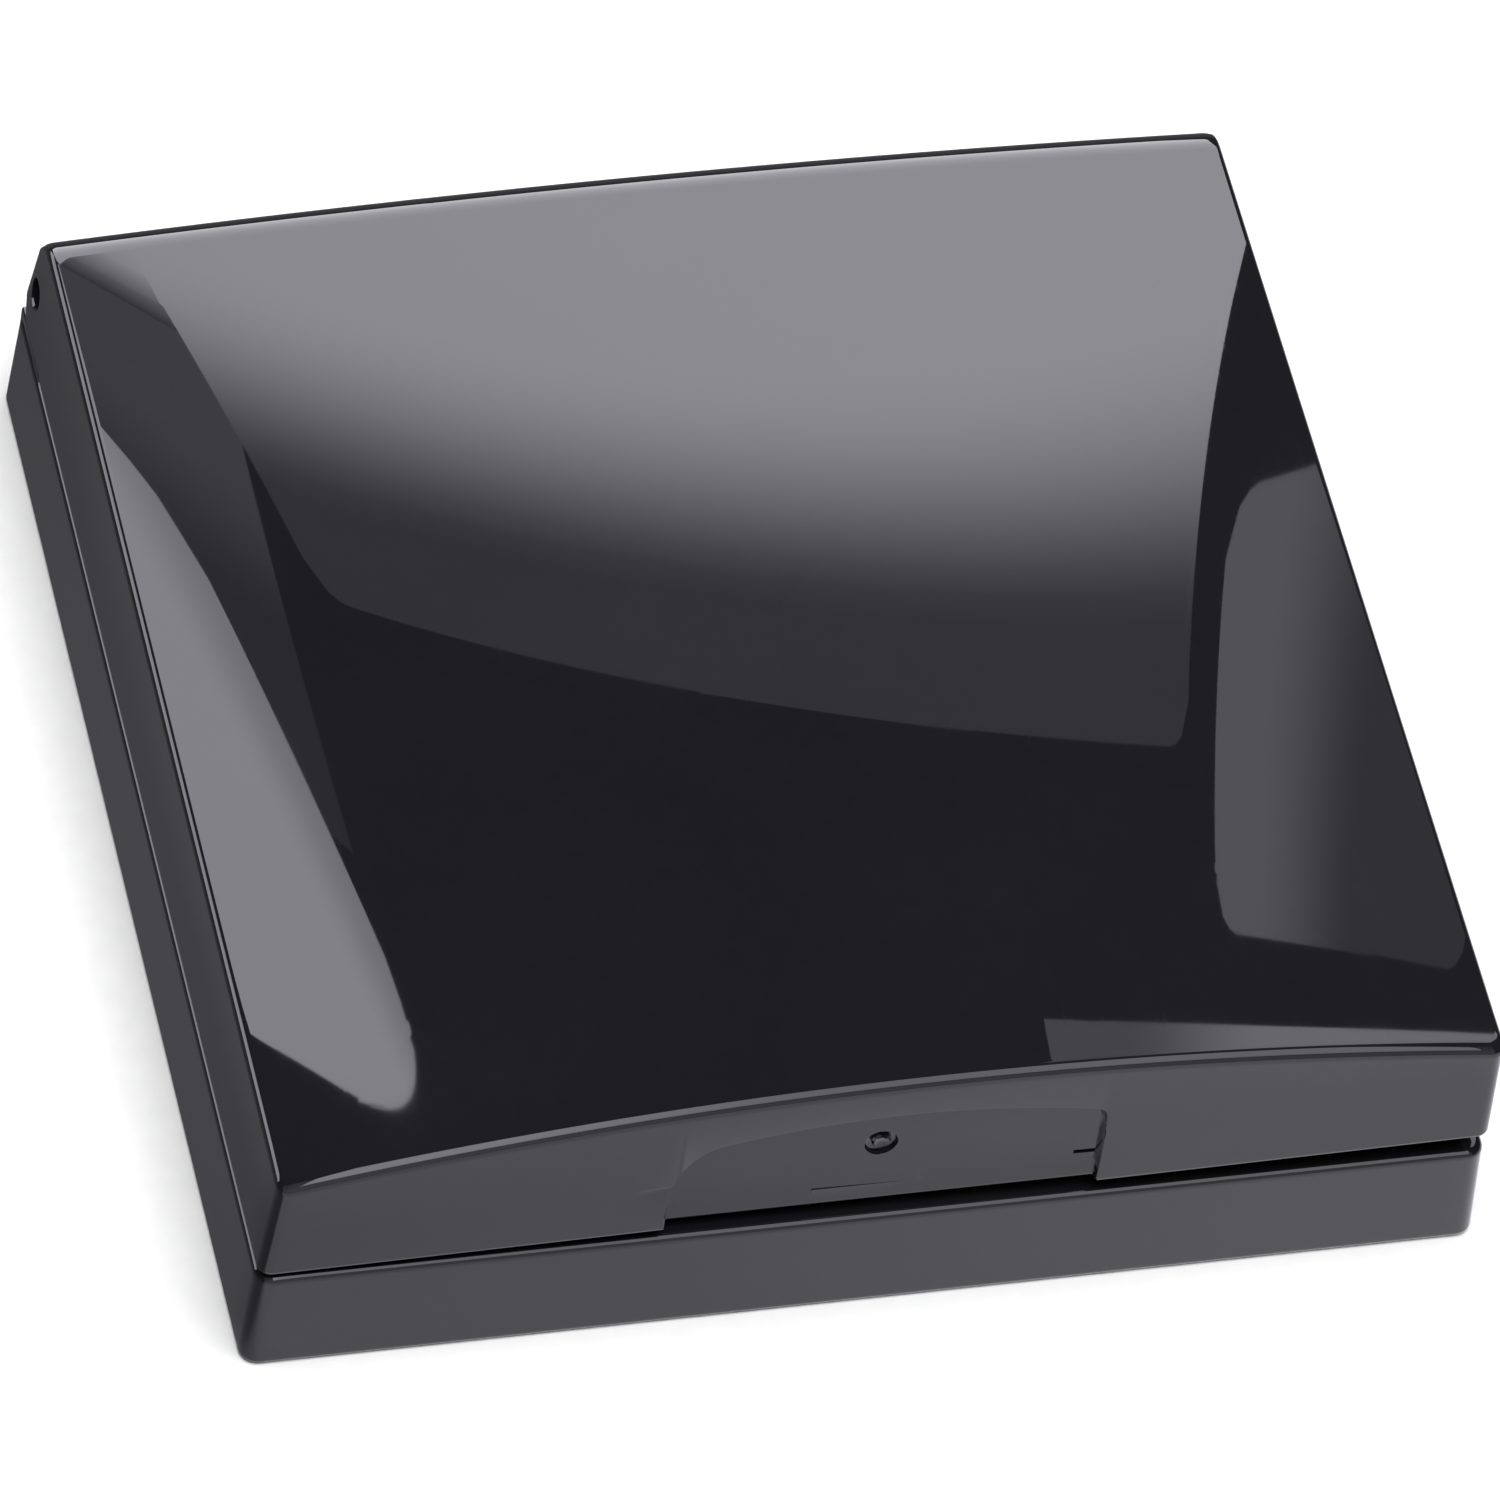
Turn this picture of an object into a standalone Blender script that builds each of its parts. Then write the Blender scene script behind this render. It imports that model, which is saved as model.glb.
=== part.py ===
"""A square pressed-powder compact: base, tray, powder, puff, and a mirrored lid on two hinge pins.

World frame, in metres: +X right, +Y back to the hinge, +Z up, origin under the middle of the base.
The lid is modelled shut. Its pieces hang on the empty lid_axis, which lies on the hinge line.
"""

from math import cos, pi, radians, sin, sqrt

import bmesh
import bpy
from mathutils import Matrix, Vector

MM = 0.001

# Base case
SEAM_WIDTH = 72.0 * MM
SEAM_DEPTH = 72.5 * MM
BASE_HEIGHT = 7.44 * MM
BASE_DRAFT = 0.36 * MM
BASE_BACK = 36.6 * MM
BASE_WALL = 1.6 * MM
BASE_FLOOR = 1.5 * MM
BASE_EDGE = 0.4 * MM
CORNER = 1.1 * MM
FOOT_RING = 5.0 * MM
FOOT_RECESS = 0.5 * MM
SHOULDER_START = 30.7 * MM
SHOULDER_TOP = 7.95 * MM
SHOULDER_INSET = 0.1 * MM
LABEL_HALF_X = 22.0 * MM
LABEL_HALF_Y = 13.0 * MM
LABEL_CORNER = 2.0 * MM
LABEL_BOTTOM = 0.25 * MM
LABEL_TOP = 0.4 * MM

# Lid shell
LID_GAP = 0.35 * MM
LID_TWIST = 1.06 * MM
LID_DRAFT = 0.68 * MM
LID_WALL = 1.5 * MM
LID_BACK = 36.5 * MM
LID_EDGE = 0.7 * MM
LID_RIM_EDGE = 0.25 * MM
LID_BACK_ROUND = 3.1 * MM
CEILING_BACK = 33.9 * MM
FRONT_CREST = 17.93 * MM
BACK_CREST = 16.25 * MM
FRONT_SAG = 3.17 * MM
BACK_SAG = 1.0 * MM
FRONT_SKEW = 1.36 * MM
BACK_SKEW = 0.8 * MM

# Hinge
HINGE_Y = 34.3 * MM
HINGE_Z = 11.2 * MM
PIN_RADIUS = 0.8 * MM
PIN_HOLE = 0.95 * MM
PIN_INNER_END = 22.6 * MM
PIN_OUTER_END = 35.1 * MM
KNUCKLE_RADIUS = 2.1 * MM
KNUCKLE_INNER = 22.0 * MM
KNUCKLE_OUTER = 30.7 * MM
KNUCKLE_STEM_BACK = 35.2 * MM
EAR_INNER = 31.0 * MM
EAR_RADIUS = 2.95 * MM
EAR_BACK_RADIUS = 2.25 * MM
BACK_WALL_SWING = 3.4 * MM
BACK_WALL_FRONT = 33.0 * MM
SIDE_GAP = 0.3 * MM

# Thumb notch and latch at the front
NOTCH_HALF = 12.5 * MM
NOTCH_DEPTH = 0.65 * MM
NOTCH_CORNER_HEIGHT = 6.0 * MM
NOTCH_CROWN_HEIGHT = 7.4 * MM
HOOK_HALF = 4.0 * MM
HOOK_FRONT = -33.8 * MM
HOOK_BACK = -32.8 * MM
HOOK_NOSE = -34.0 * MM
HOOK_FOOT = 5.0 * MM
HOOK_SHELF_BOTTOM = 8.5 * MM
HOOK_SHELF_TOP = 9.6 * MM
CATCH_FACE = -34.15 * MM
CATCH_BOTTOM = 5.9 * MM
CATCH_TOP = 6.7 * MM

# Inner tray
TRAY_GAP = 0.35 * MM
TRAY_FOOT = 1.8 * MM
DECK_TOP = 6.9 * MM
DECK_THICKNESS = 1.6 * MM
SKIRT = 1.0 * MM
UPSTAND_TOP = 8.6 * MM
UPSTAND_BACK = 30.4 * MM
TRAY_CORNER = 0.6 * MM
HOOK_SLOT_MARGIN = 0.7 * MM
WELL_RADIUS = 29.5 * MM
WELL_Y = -1.0 * MM
SCOOP_RADIUS = 7.0 * MM
SCOOP_DEPTH = 1.0 * MM

# What lies in the tray, each height measured from the table
PAN_RADIUS = 29.1 * MM
PAN_WALL = 0.45 * MM
PAN_BOTTOM = 1.95 * MM
PAN_TOP = 5.75 * MM
GLUE_RADIUS = 12.0 * MM
GLUE_BOTTOM = 1.6 * MM
GLUE_TOP = 1.85 * MM
POWDER_RADIUS = 28.4 * MM
POWDER_BOTTOM = 2.5 * MM
POWDER_TOP = 5.4 * MM
POWDER_EDGE = 0.4 * MM
FILM_RADIUS = 27.9 * MM
FILM_BOTTOM = 5.5 * MM
FILM_TOP = 5.62 * MM
PUFF_RADIUS = 27.4 * MM
PUFF_BOTTOM = 5.8 * MM
PUFF_TOP = 9.2 * MM
PUFF_BULGE = 1.8 * MM
RIBBON_HALF = 7.0 * MM
RIBBON_THICKNESS = 0.25 * MM
RIBBON_UNDER = 9.35 * MM
RIBBON_BEND = 1.9 * MM
RIBBON_SHOULDER = 26.0 * MM

# Lid liner and mirror
LINER_HALF = 33.6 * MM
LINER_FRONT = -33.85 * MM
LINER_BACK = 29.2 * MM
LINER_FACE = 9.9 * MM
LINER_PLATE = 12.2 * MM
LINER_TOP = 13.2 * MM
LINER_WEB = 1.0 * MM
MIRROR_HALF = 28.5 * MM
MIRROR_FRONT = -29.5 * MM
MIRROR_BACK = 26.0 * MM
MIRROR_FACE = 10.3 * MM
MIRROR_THICKNESS = 1.2 * MM
MIRROR_GAP = 0.3 * MM
MIRROR_CORNER = 1.5 * MM
MIRROR_BEVEL = 0.25 * MM
TAPE_MARGIN = 4.5 * MM
TAPE_GAP = 0.15 * MM

ARCH_STEPS = 16
SIDE_STEPS = 6
CORNER_STEPS = 3
ROUND_STEPS = 64
SCOOP_STEPS = 32
PUFF_STEPS = 48
PUFF_RINGS = 6
PIN_STEPS = 20
NOTCH_STEPS = 12
SIDES = ((-1, "left"), (1, "right"))
PAST = 2.0 * MM  # how far a cutter runs past the wall that it opens

LID_AXIS = Vector((0, HINGE_Y, HINGE_Z))


def mix(a, b, t):
    return a + (b - a) * t


def clear_scene():
    for obj in list(bpy.data.objects):
        bpy.data.objects.remove(obj, do_unlink=True)


def look(name, colour, roughness, metallic=0.0, transmission=0.0, coat=0.0):
    material = bpy.data.materials.new(name)
    material.use_nodes = True
    shader = material.node_tree.nodes["Principled BSDF"]
    shader.inputs["Base Color"].default_value = (*colour, 1.0)
    shader.inputs["Roughness"].default_value = roughness
    shader.inputs["Metallic"].default_value = metallic
    shader.inputs["Transmission Weight"].default_value = transmission
    shader.inputs["Coat Weight"].default_value = coat
    material.diffuse_color = (*colour, 1.0)
    return material


# Outlines and lofts


def outline(half_x, front, back, radius, arch=ARCH_STEPS, side=SIDE_STEPS):
    """A rounded rectangle in plan, anticlockwise from its front left corner."""
    corners = (
        (-half_x + radius, front + radius, pi),
        (half_x - radius, front + radius, 1.5 * pi),
        (half_x - radius, back - radius, 0.0),
        (-half_x + radius, back - radius, 0.5 * pi),
    )
    arcs = []
    for x, y, start in corners:
        turns = [start + 0.5 * pi * i / CORNER_STEPS for i in range(CORNER_STEPS + 1)]
        arcs.append([Vector((x + radius * cos(t), y + radius * sin(t))) for t in turns])
    points = []
    for i, steps in enumerate((arch, side, arch, side)):
        here, after = arcs[i], arcs[(i + 1) % len(arcs)]
        points += here
        points += [here[-1].lerp(after[0], k / steps) for k in range(1, steps)]
    return points


def ring(half_x, front, back, radius, height, **steps):
    """The outline as a loop in space. height is a number or a function of x and y."""
    points = outline(half_x, front, back, radius, **steps)
    return [Vector((x, y, height(x, y) if callable(height) else height)) for x, y in points]


def plate_ring(half_x, front, back, radius, height):
    return ring(half_x, front, back, radius, height, arch=1, side=1)


def circle(radius, height, y=0.0, steps=ROUND_STEPS):
    turns = [2 * pi * i / steps for i in range(steps)]
    return [Vector((radius * cos(t), y + radius * sin(t), height)) for t in turns]


def add_cap(mesh, loop):
    heights = [vert.co.z for vert in loop]
    if max(heights) - min(heights) < 1e-7:
        mesh.faces.new(loop)
        return
    middle = sum((vert.co for vert in loop), Vector()) / len(loop)
    peak = mesh.verts.new(middle)
    for i, vert in enumerate(loop):
        mesh.faces.new((vert, loop[(i + 1) % len(loop)], peak))


def loft(name, rings, closed=False):
    """Skins loops of equal length. The ends are capped, or joined to each other when closed."""
    mesh = bmesh.new()
    loops = [[mesh.verts.new(point) for point in points] for points in rings]
    pairs = list(zip(loops, loops[1:]))
    if closed:
        pairs.append((loops[-1], loops[0]))
    for lower, upper in pairs:
        for i in range(len(lower)):
            j = (i + 1) % len(lower)
            mesh.faces.new((lower[i], lower[j], upper[j], upper[i]))
    if not closed:
        add_cap(mesh, loops[0])
        add_cap(mesh, loops[-1])
    return solid(name, mesh)


def solid(name, mesh):
    bmesh.ops.recalc_face_normals(mesh, faces=mesh.faces)
    data = bpy.data.meshes.new(name)
    mesh.to_mesh(data)
    mesh.free()
    obj = bpy.data.objects.new(name, data)
    bpy.context.scene.collection.objects.link(obj)
    return obj


def band(name, ends):
    """Joins two equal flat loops, which are also its end faces."""
    mesh = bmesh.new()
    loops = [[mesh.verts.new(point) for point in points] for points in ends]
    for loop in loops:
        mesh.faces.new(loop)
    for i in range(len(loops[0])):
        j = (i + 1) % len(loops[0])
        mesh.faces.new((loops[0][i], loops[0][j], loops[1][j], loops[1][i]))
    return solid(name, mesh)


def prism(name, profile, x_start, x_end):
    """A (y, z) profile drawn out along X."""
    return band(name, [[(x, y, z) for y, z in profile] for x in (x_start, x_end)])


def box(name, low, high):
    profile = ((low[1], low[2]), (high[1], low[2]), (high[1], high[2]), (low[1], high[2]))
    return prism(name, profile, low[0], high[0])


def hinge_arc(radius, start, end, steps=10):
    """(y, z) points round the hinge line, by angles in degrees from +Y towards +Z."""
    turns = [radians(mix(start, end, i / steps)) for i in range(steps + 1)]
    return [(HINGE_Y + radius * cos(t), HINGE_Z + radius * sin(t)) for t in turns]


def hinge_rod(name, radius, x_start, x_end):
    profile = hinge_arc(radius, 0, 360 - 360 / PIN_STEPS, PIN_STEPS - 1)
    return prism(name, profile, x_start, x_end)


def combine(obj, tool, operation):
    modifier = obj.modifiers.new(tool.name, "BOOLEAN")
    modifier.operation = operation
    modifier.solver = "EXACT"
    modifier.object = tool
    tool.hide_render = True
    tool.display_type = "WIRE"


def cut(obj, tool):
    combine(obj, tool, "DIFFERENCE")


def join(obj, tool):
    combine(obj, tool, "UNION")


def finish(obj, material, origin, parent):
    """Gives the piece its material, its own origin and its parent empty."""
    obj.data.materials.append(material)
    obj.data.shade_smooth()
    obj.data.set_sharp_from_angle(angle=radians(35))
    origin = Vector(origin)
    obj.data.transform(Matrix.Translation(-origin))
    obj.parent = parent
    obj.location = origin - parent.location
    return obj


def add_empty(name, location):
    empty = bpy.data.objects.new(name, None)
    empty.location = location
    empty.empty_display_size = 10 * MM
    bpy.context.scene.collection.objects.link(empty)
    return empty


# Base case


def base_outline(height, inset=0.0):
    """Half width, front and back of the base at a height, set in from its drafted wall."""
    draft = BASE_DRAFT * (1 - height / BASE_HEIGHT)
    half_x = SEAM_WIDTH / 2 + draft - inset
    front = -(SEAM_DEPTH / 2 + draft - inset)
    return half_x, front, BASE_BACK - inset


def base_rings():
    """From the recessed underside, round the foot and the outer wall, to the inner floor."""
    soft = BASE_EDGE * (1 - sqrt(0.5))
    recess = base_outline(0, FOOT_RING)
    inner_top = base_outline(BASE_HEIGHT, BASE_WALL)
    inner_radius = CORNER * 0.6
    return [
        plate_ring(*recess, CORNER, FOOT_RECESS),
        plate_ring(*recess, CORNER, 0),
        plate_ring(*base_outline(0, BASE_EDGE), CORNER - BASE_EDGE, 0),
        plate_ring(*base_outline(0, soft), CORNER, soft),
        plate_ring(*base_outline(BASE_EDGE), CORNER, BASE_EDGE),
        plate_ring(*base_outline(BASE_HEIGHT - BASE_EDGE), CORNER, BASE_HEIGHT - BASE_EDGE),
        plate_ring(*base_outline(BASE_HEIGHT, soft), CORNER, BASE_HEIGHT - soft),
        plate_ring(*base_outline(BASE_HEIGHT, BASE_EDGE), CORNER - BASE_EDGE, BASE_HEIGHT),
        plate_ring(*inner_top, inner_radius, BASE_HEIGHT),
        plate_ring(*inner_top, inner_radius, BASE_FLOOR),
    ]


def knuckle(name, side):
    """A round-headed post that carries one hinge pin, standing on the base floor."""
    profile = hinge_arc(KNUCKLE_RADIUS, -20, 180)
    profile += [
        (HINGE_Y - KNUCKLE_RADIUS, BASE_FLOOR - MM),
        (KNUCKLE_STEM_BACK, BASE_FLOOR - MM),
        (KNUCKLE_STEM_BACK, HINGE_Z - KNUCKLE_RADIUS),
    ]
    return prism(name, profile, side * KNUCKLE_INNER, side * KNUCKLE_OUTER)


def add_base_shell(material, parent):
    base = loft("base_shell", base_rings())
    for side, word in SIDES:
        shoulder_in = SEAM_WIDTH / 2 - BASE_WALL + SHOULDER_INSET
        shoulder_out = SEAM_WIDTH / 2 - SHOULDER_INSET
        shoulder = box(
            "shoulder_" + word,
            (side * shoulder_in, SHOULDER_START, BASE_HEIGHT - MM),
            (side * shoulder_out, BASE_BACK - BASE_EDGE, SHOULDER_TOP),
        )
        join(base, shoulder)
        join(base, knuckle("knuckle_" + word, side))
        hole_ends = (side * (KNUCKLE_INNER - MM), side * (KNUCKLE_OUTER + MM))
        cut(base, hinge_rod("knuckle_hole_" + word, PIN_HOLE, *hole_ends))
    wall_middle = -(SEAM_DEPTH / 2 - BASE_WALL / 2)
    low = (-HOOK_HALF, wall_middle, CATCH_BOTTOM)
    high = (HOOK_HALF, CATCH_FACE, CATCH_TOP)
    join(base, box("catch_rib", low, high))
    return finish(base, material, (0, 0, 0), parent)


def add_base_label(material, parent):
    size = (LABEL_HALF_X, -LABEL_HALF_Y, LABEL_HALF_Y)
    rings = [plate_ring(*size, LABEL_CORNER, height) for height in (LABEL_BOTTOM, LABEL_TOP)]
    label = loft("base_label", rings)
    return finish(label, material, (0, 0, LABEL_TOP), parent)


# Tray and its contents


def tray_outline(inset=0.0):
    half_x, front, back = base_outline(BASE_HEIGHT, BASE_WALL + TRAY_GAP)
    return half_x - inset, front + inset, back - inset


def tray_skirt_block():
    """What is hollow under the deck: all of it but the walls round the edge and the well."""
    underside = DECK_TOP - DECK_THICKNESS
    under = loft(
        "tray_underside",
        [plate_ring(*tray_outline(SKIRT), TRAY_CORNER, height) for height in (0, underside)],
    )
    heights = (-PAST, DECK_TOP)
    cut(under, loft("well_skirt", [circle(WELL_RADIUS + SKIRT, z, WELL_Y) for z in heights]))
    return under


def tray_upstand():
    """The low wall round the deck that fits inside the lid."""
    half_x, front, _ = tray_outline()
    outer = (half_x, front, UPSTAND_BACK)
    inner = (half_x - SKIRT, front + SKIRT, UPSTAND_BACK - SKIRT)
    rings = [
        plate_ring(*outer, TRAY_CORNER, DECK_TOP - MM),
        plate_ring(*outer, TRAY_CORNER, UPSTAND_TOP),
        plate_ring(*inner, TRAY_CORNER, UPSTAND_TOP),
        plate_ring(*inner, TRAY_CORNER, DECK_TOP - MM),
    ]
    return loft("tray_upstand", rings, closed=True)


def finger_scoop():
    """A shallow round dish at the front right of the well, to lift the puff by."""
    reach = WELL_RADIUS * sqrt(0.5)
    levels = (
        (SCOOP_RADIUS - SCOOP_DEPTH, DECK_TOP - SCOOP_DEPTH),
        (SCOOP_RADIUS, DECK_TOP),
        (SCOOP_RADIUS, DECK_TOP + SCOOP_DEPTH),
    )
    rings = []
    for radius, height in levels:
        points = circle(radius, height, WELL_Y - reach, SCOOP_STEPS)
        rings.append([point + Vector((reach, 0, 0)) for point in points])
    return loft("finger_scoop", rings)


def add_inner_tray(material, parent):
    heights = (TRAY_FOOT, DECK_TOP)
    tray = loft("inner_tray", [plate_ring(*tray_outline(), TRAY_CORNER, z) for z in heights])
    cut(tray, tray_skirt_block())
    join(tray, tray_upstand())
    heights = (0, DECK_TOP + PAST)
    cut(tray, loft("well", [circle(WELL_RADIUS, z, WELL_Y) for z in heights]))
    cut(tray, finger_scoop())
    for side, word in SIDES:
        low = (side * (KNUCKLE_INNER - SIDE_GAP), HINGE_Y - KNUCKLE_RADIUS - SIDE_GAP, 0)
        high = (side * (KNUCKLE_OUTER + SIDE_GAP), BASE_BACK, UPSTAND_TOP)
        cut(tray, box("knuckle_bay_" + word, low, high))
    slot_half = HOOK_HALF + HOOK_SLOT_MARGIN
    low = (-slot_half, -SEAM_DEPTH / 2, 0)
    high = (slot_half, HOOK_BACK + HOOK_SLOT_MARGIN, UPSTAND_TOP + PAST)
    cut(tray, box("hook_slot", low, high))
    return finish(tray, material, (0, WELL_Y, DECK_TOP), parent)


def add_pan_glue(material, parent):
    heights = (GLUE_BOTTOM, GLUE_TOP)
    glue = loft("pan_glue", [circle(GLUE_RADIUS, z, WELL_Y, SCOOP_STEPS) for z in heights])
    return finish(glue, material, (0, WELL_Y, GLUE_BOTTOM), parent)


def add_powder_pan(material, parent):
    inside = PAN_RADIUS - PAN_WALL
    rings = [
        circle(inside, PAN_BOTTOM, WELL_Y),
        circle(PAN_RADIUS, PAN_BOTTOM + PAN_WALL, WELL_Y),
        circle(PAN_RADIUS, PAN_TOP, WELL_Y),
        circle(inside, PAN_TOP, WELL_Y),
        circle(inside, PAN_BOTTOM + PAN_WALL, WELL_Y),
    ]
    pan = loft("powder_pan", rings)
    return finish(pan, material, (0, WELL_Y, PAN_BOTTOM), parent)


def add_pressed_powder(material, parent):
    rings = [
        circle(POWDER_RADIUS, POWDER_BOTTOM, WELL_Y),
        circle(POWDER_RADIUS, POWDER_TOP - POWDER_EDGE, WELL_Y),
        circle(POWDER_RADIUS - POWDER_EDGE, POWDER_TOP, WELL_Y),
    ]
    powder = loft("pressed_powder", rings)
    return finish(powder, material, (0, WELL_Y, POWDER_BOTTOM), parent)


def add_clear_film(material, parent):
    film = loft("clear_film", [circle(FILM_RADIUS, z, WELL_Y) for z in (FILM_BOTTOM, FILM_TOP)])
    return finish(film, material, (0, WELL_Y, FILM_BOTTOM), parent)


def add_puff_pad(material, parent):
    """A round pad, pressed flat by the lid, with its widest girth at mid height."""
    half_height = (PUFF_TOP - PUFF_BOTTOM) / 2
    rings = []
    for i in range(PUFF_RINGS):
        turn = radians(mix(-90, 90, i / (PUFF_RINGS - 1)))
        radius = PUFF_RADIUS - PUFF_BULGE * (1 - cos(turn))
        height = PUFF_BOTTOM + half_height * (1 + sin(turn))
        rings.append(circle(radius, height, WELL_Y, PUFF_STEPS))
    puff = loft("puff_pad", rings)
    return finish(puff, material, (0, WELL_Y, PUFF_BOTTOM), parent)


def ribbon_loop(y):
    """One edge of the ribbon: its underside from left to right, then its upper side back."""
    under, over = [], []
    for side, turns in ((-1, (180, 150, 120, 90)), (1, (90, 60, 30, 0))):
        centre = Vector((side * RIBBON_SHOULDER, y, RIBBON_UNDER - RIBBON_BEND))
        for degrees in turns:
            outward = Vector((cos(radians(degrees)), 0, sin(radians(degrees))))
            under.append(centre + outward * RIBBON_BEND)
            over.append(centre + outward * (RIBBON_BEND + RIBBON_THICKNESS))
    return under + over[::-1]


def add_puff_ribbon(material, parent):
    """A flat band over the puff, its two ends turned down at the puff's edge."""
    ribbon = band("puff_ribbon", [ribbon_loop(WELL_Y + side * RIBBON_HALF) for side in (-1, 1)])
    return finish(ribbon, material, (0, WELL_Y, RIBBON_UNDER), parent)


def add_hinge_pin(word, side, material, parent):
    name = "hinge_pin_" + word
    pin = hinge_rod(name, PIN_RADIUS, side * PIN_INNER_END, side * PIN_OUTER_END)
    return finish(pin, material, (side * PIN_OUTER_END, HINGE_Y, HINGE_Z), parent)


# Lid


def rim_height(x, y):
    """Lower edge of the lid, which stands off the base a little more towards the front right."""
    across = (x + SEAM_WIDTH / 2) / SEAM_WIDTH
    along = (HINGE_Y - y) / (HINGE_Y + SEAM_DEPTH / 2)
    return BASE_HEIGHT + LID_GAP + LID_TWIST * across * max(0.0, along)


def top_height(x, y):
    """The crowned top: a deep arch at the front that flattens towards the hinge."""
    reach = SEAM_WIDTH / 2 - LID_DRAFT
    along = (HINGE_Y - y) / (HINGE_Y + SEAM_DEPTH / 2 - LID_DRAFT)
    crest = mix(BACK_CREST, FRONT_CREST, along)
    sag = mix(BACK_SAG, FRONT_SAG, along)
    skew = mix(BACK_SKEW, FRONT_SKEW, along)
    return crest - sag * (x / reach) ** 2 + skew * (x + reach) / (2 * reach)


def above_rim(offset):
    return lambda x, y: rim_height(x, y) + offset


def below_top(offset):
    return lambda x, y: top_height(x, y) - offset


def lean(point, draft):
    """Takes the draft off again towards the right, where the lid's wall stands upright."""
    return point + Vector((draft * (0.5 + point.x / SEAM_WIDTH), 0, 0))


def lid_ring(draft, inset, back, radius, height):
    half_x = SEAM_WIDTH / 2 - draft - inset
    front = -(SEAM_DEPTH / 2 - draft - inset)
    return [lean(point, draft) for point in ring(half_x, front, back, radius, height)]


def back_line(share):
    """Where the back stands once it has run through a share of its large rounding."""
    return LID_BACK - share * LID_BACK_ROUND


def crown_rings(inset, back, offset, scales):
    """Loops inside the edge of the crowned top, or of the ceiling below it."""
    half_x = SEAM_WIDTH / 2 - LID_DRAFT - inset
    front = -(SEAM_DEPTH / 2 - LID_DRAFT - inset)
    middle = (front + back) / 2
    reach = (back - front) / 2
    rings = []
    for scale in scales:
        ends = (middle - reach * scale, middle + reach * scale)
        loop = ring(half_x * scale, *ends, CORNER * scale, below_top(offset))
        rings.append([lean(point, LID_DRAFT) for point in loop])
    return rings


def lid_rings():
    """From the ceiling's middle, down the inner wall, round the rim and over the top."""
    rounding = LID_EDGE * (1 - sqrt(0.5))
    back_inside = LID_BACK - LID_WALL
    below_corner = below_top(LID_WALL + LID_EDGE)
    ceiling = crown_rings(LID_WALL, CEILING_BACK, LID_WALL, (0.35, 0.7, 1.0))
    inner = [
        lid_ring(LID_DRAFT, LID_WALL, back_inside, CORNER, below_corner),
        lid_ring(0, LID_WALL, back_inside, CORNER, above_rim(0)),
    ]
    outer = [
        lid_ring(0, LID_RIM_EDGE, LID_BACK - LID_RIM_EDGE, CORNER, above_rim(0)),
        lid_ring(0, 0, LID_BACK, CORNER, above_rim(LID_RIM_EDGE)),
        lid_ring(LID_DRAFT * 0.74, 0, back_line(0.13), CORNER, below_top(3 * LID_EDGE)),
        lid_ring(LID_DRAFT, 0, back_line(0.43), CORNER, below_top(LID_EDGE)),
        lid_ring(LID_DRAFT, rounding, back_line(0.68), CORNER, below_top(rounding)),
        lid_ring(LID_DRAFT, LID_EDGE, back_line(1), CORNER * 0.6, below_top(0)),
    ]
    crown = crown_rings(LID_EDGE, back_line(1), 0, (0.8, 0.55, 0.3))
    return ceiling + inner + outer + crown


def ear_block(name, side):
    """The boss inside one back corner of the lid that turns on the hinge pin."""
    profile = hinge_arc(EAR_RADIUS, 180, 294)
    profile += [(HINGE_Y + 1.2 * MM, HINGE_Z + 1.3 * MM), (HINGE_Y + 0.6 * MM, HINGE_Z + 3.2 * MM)]
    profile += [(HINGE_Y - 1.8 * MM, HINGE_Z + 3.5 * MM), (HINGE_Y - EAR_RADIUS, HINGE_Z + 2.3 * MM)]
    return prism(name, profile, side * EAR_INNER, side * (SEAM_WIDTH / 2 - 1.1 * MM))


def swing_cutter(name, radius, forward, x_start, x_end, back_radius=None):
    """Clears what would swing lower than the radius round the hinge line."""
    back_radius = back_radius or radius
    profile = [(forward, HINGE_Z - radius)]
    profile += hinge_arc(radius, 270, 280, 2) + hinge_arc(back_radius, 305, 355)
    past = HINGE_Y + 2 * PAST
    profile += [(past, profile[-1][1]), (past, BASE_HEIGHT - MM), (forward, BASE_HEIGHT - MM)]
    return prism(name, profile, x_start, x_end)


def notch_cutter():
    """A shallow thumb recess in the front wall with an arched top edge."""
    face = -SEAM_DEPTH / 2
    low_z = BASE_HEIGHT - MM
    mesh = bmesh.new()
    columns = []
    for i in range(NOTCH_STEPS + 1):
        t = 2 * i / NOTCH_STEPS - 1
        x = NOTCH_HALF * t
        rise = mix(NOTCH_CROWN_HEIGHT, NOTCH_CORNER_HEIGHT, t * t)
        top_z = rim_height(x, face) + rise
        top_y = face + NOTCH_DEPTH + LID_DRAFT * rise / (FRONT_CREST - BASE_HEIGHT)
        outside = face - PAST
        corners = ((outside, low_z), (face + NOTCH_DEPTH, low_z), (top_y, top_z), (outside, top_z))
        columns.append([mesh.verts.new((x, y, z)) for y, z in corners])
    for left, right in zip(columns, columns[1:]):
        for k in range(len(left)):
            m = (k + 1) % len(left)
            mesh.faces.new((left[k], left[m], right[m], right[k]))
    mesh.faces.new(columns[0])
    mesh.faces.new(columns[-1])
    return solid("thumb_notch", mesh)


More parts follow.
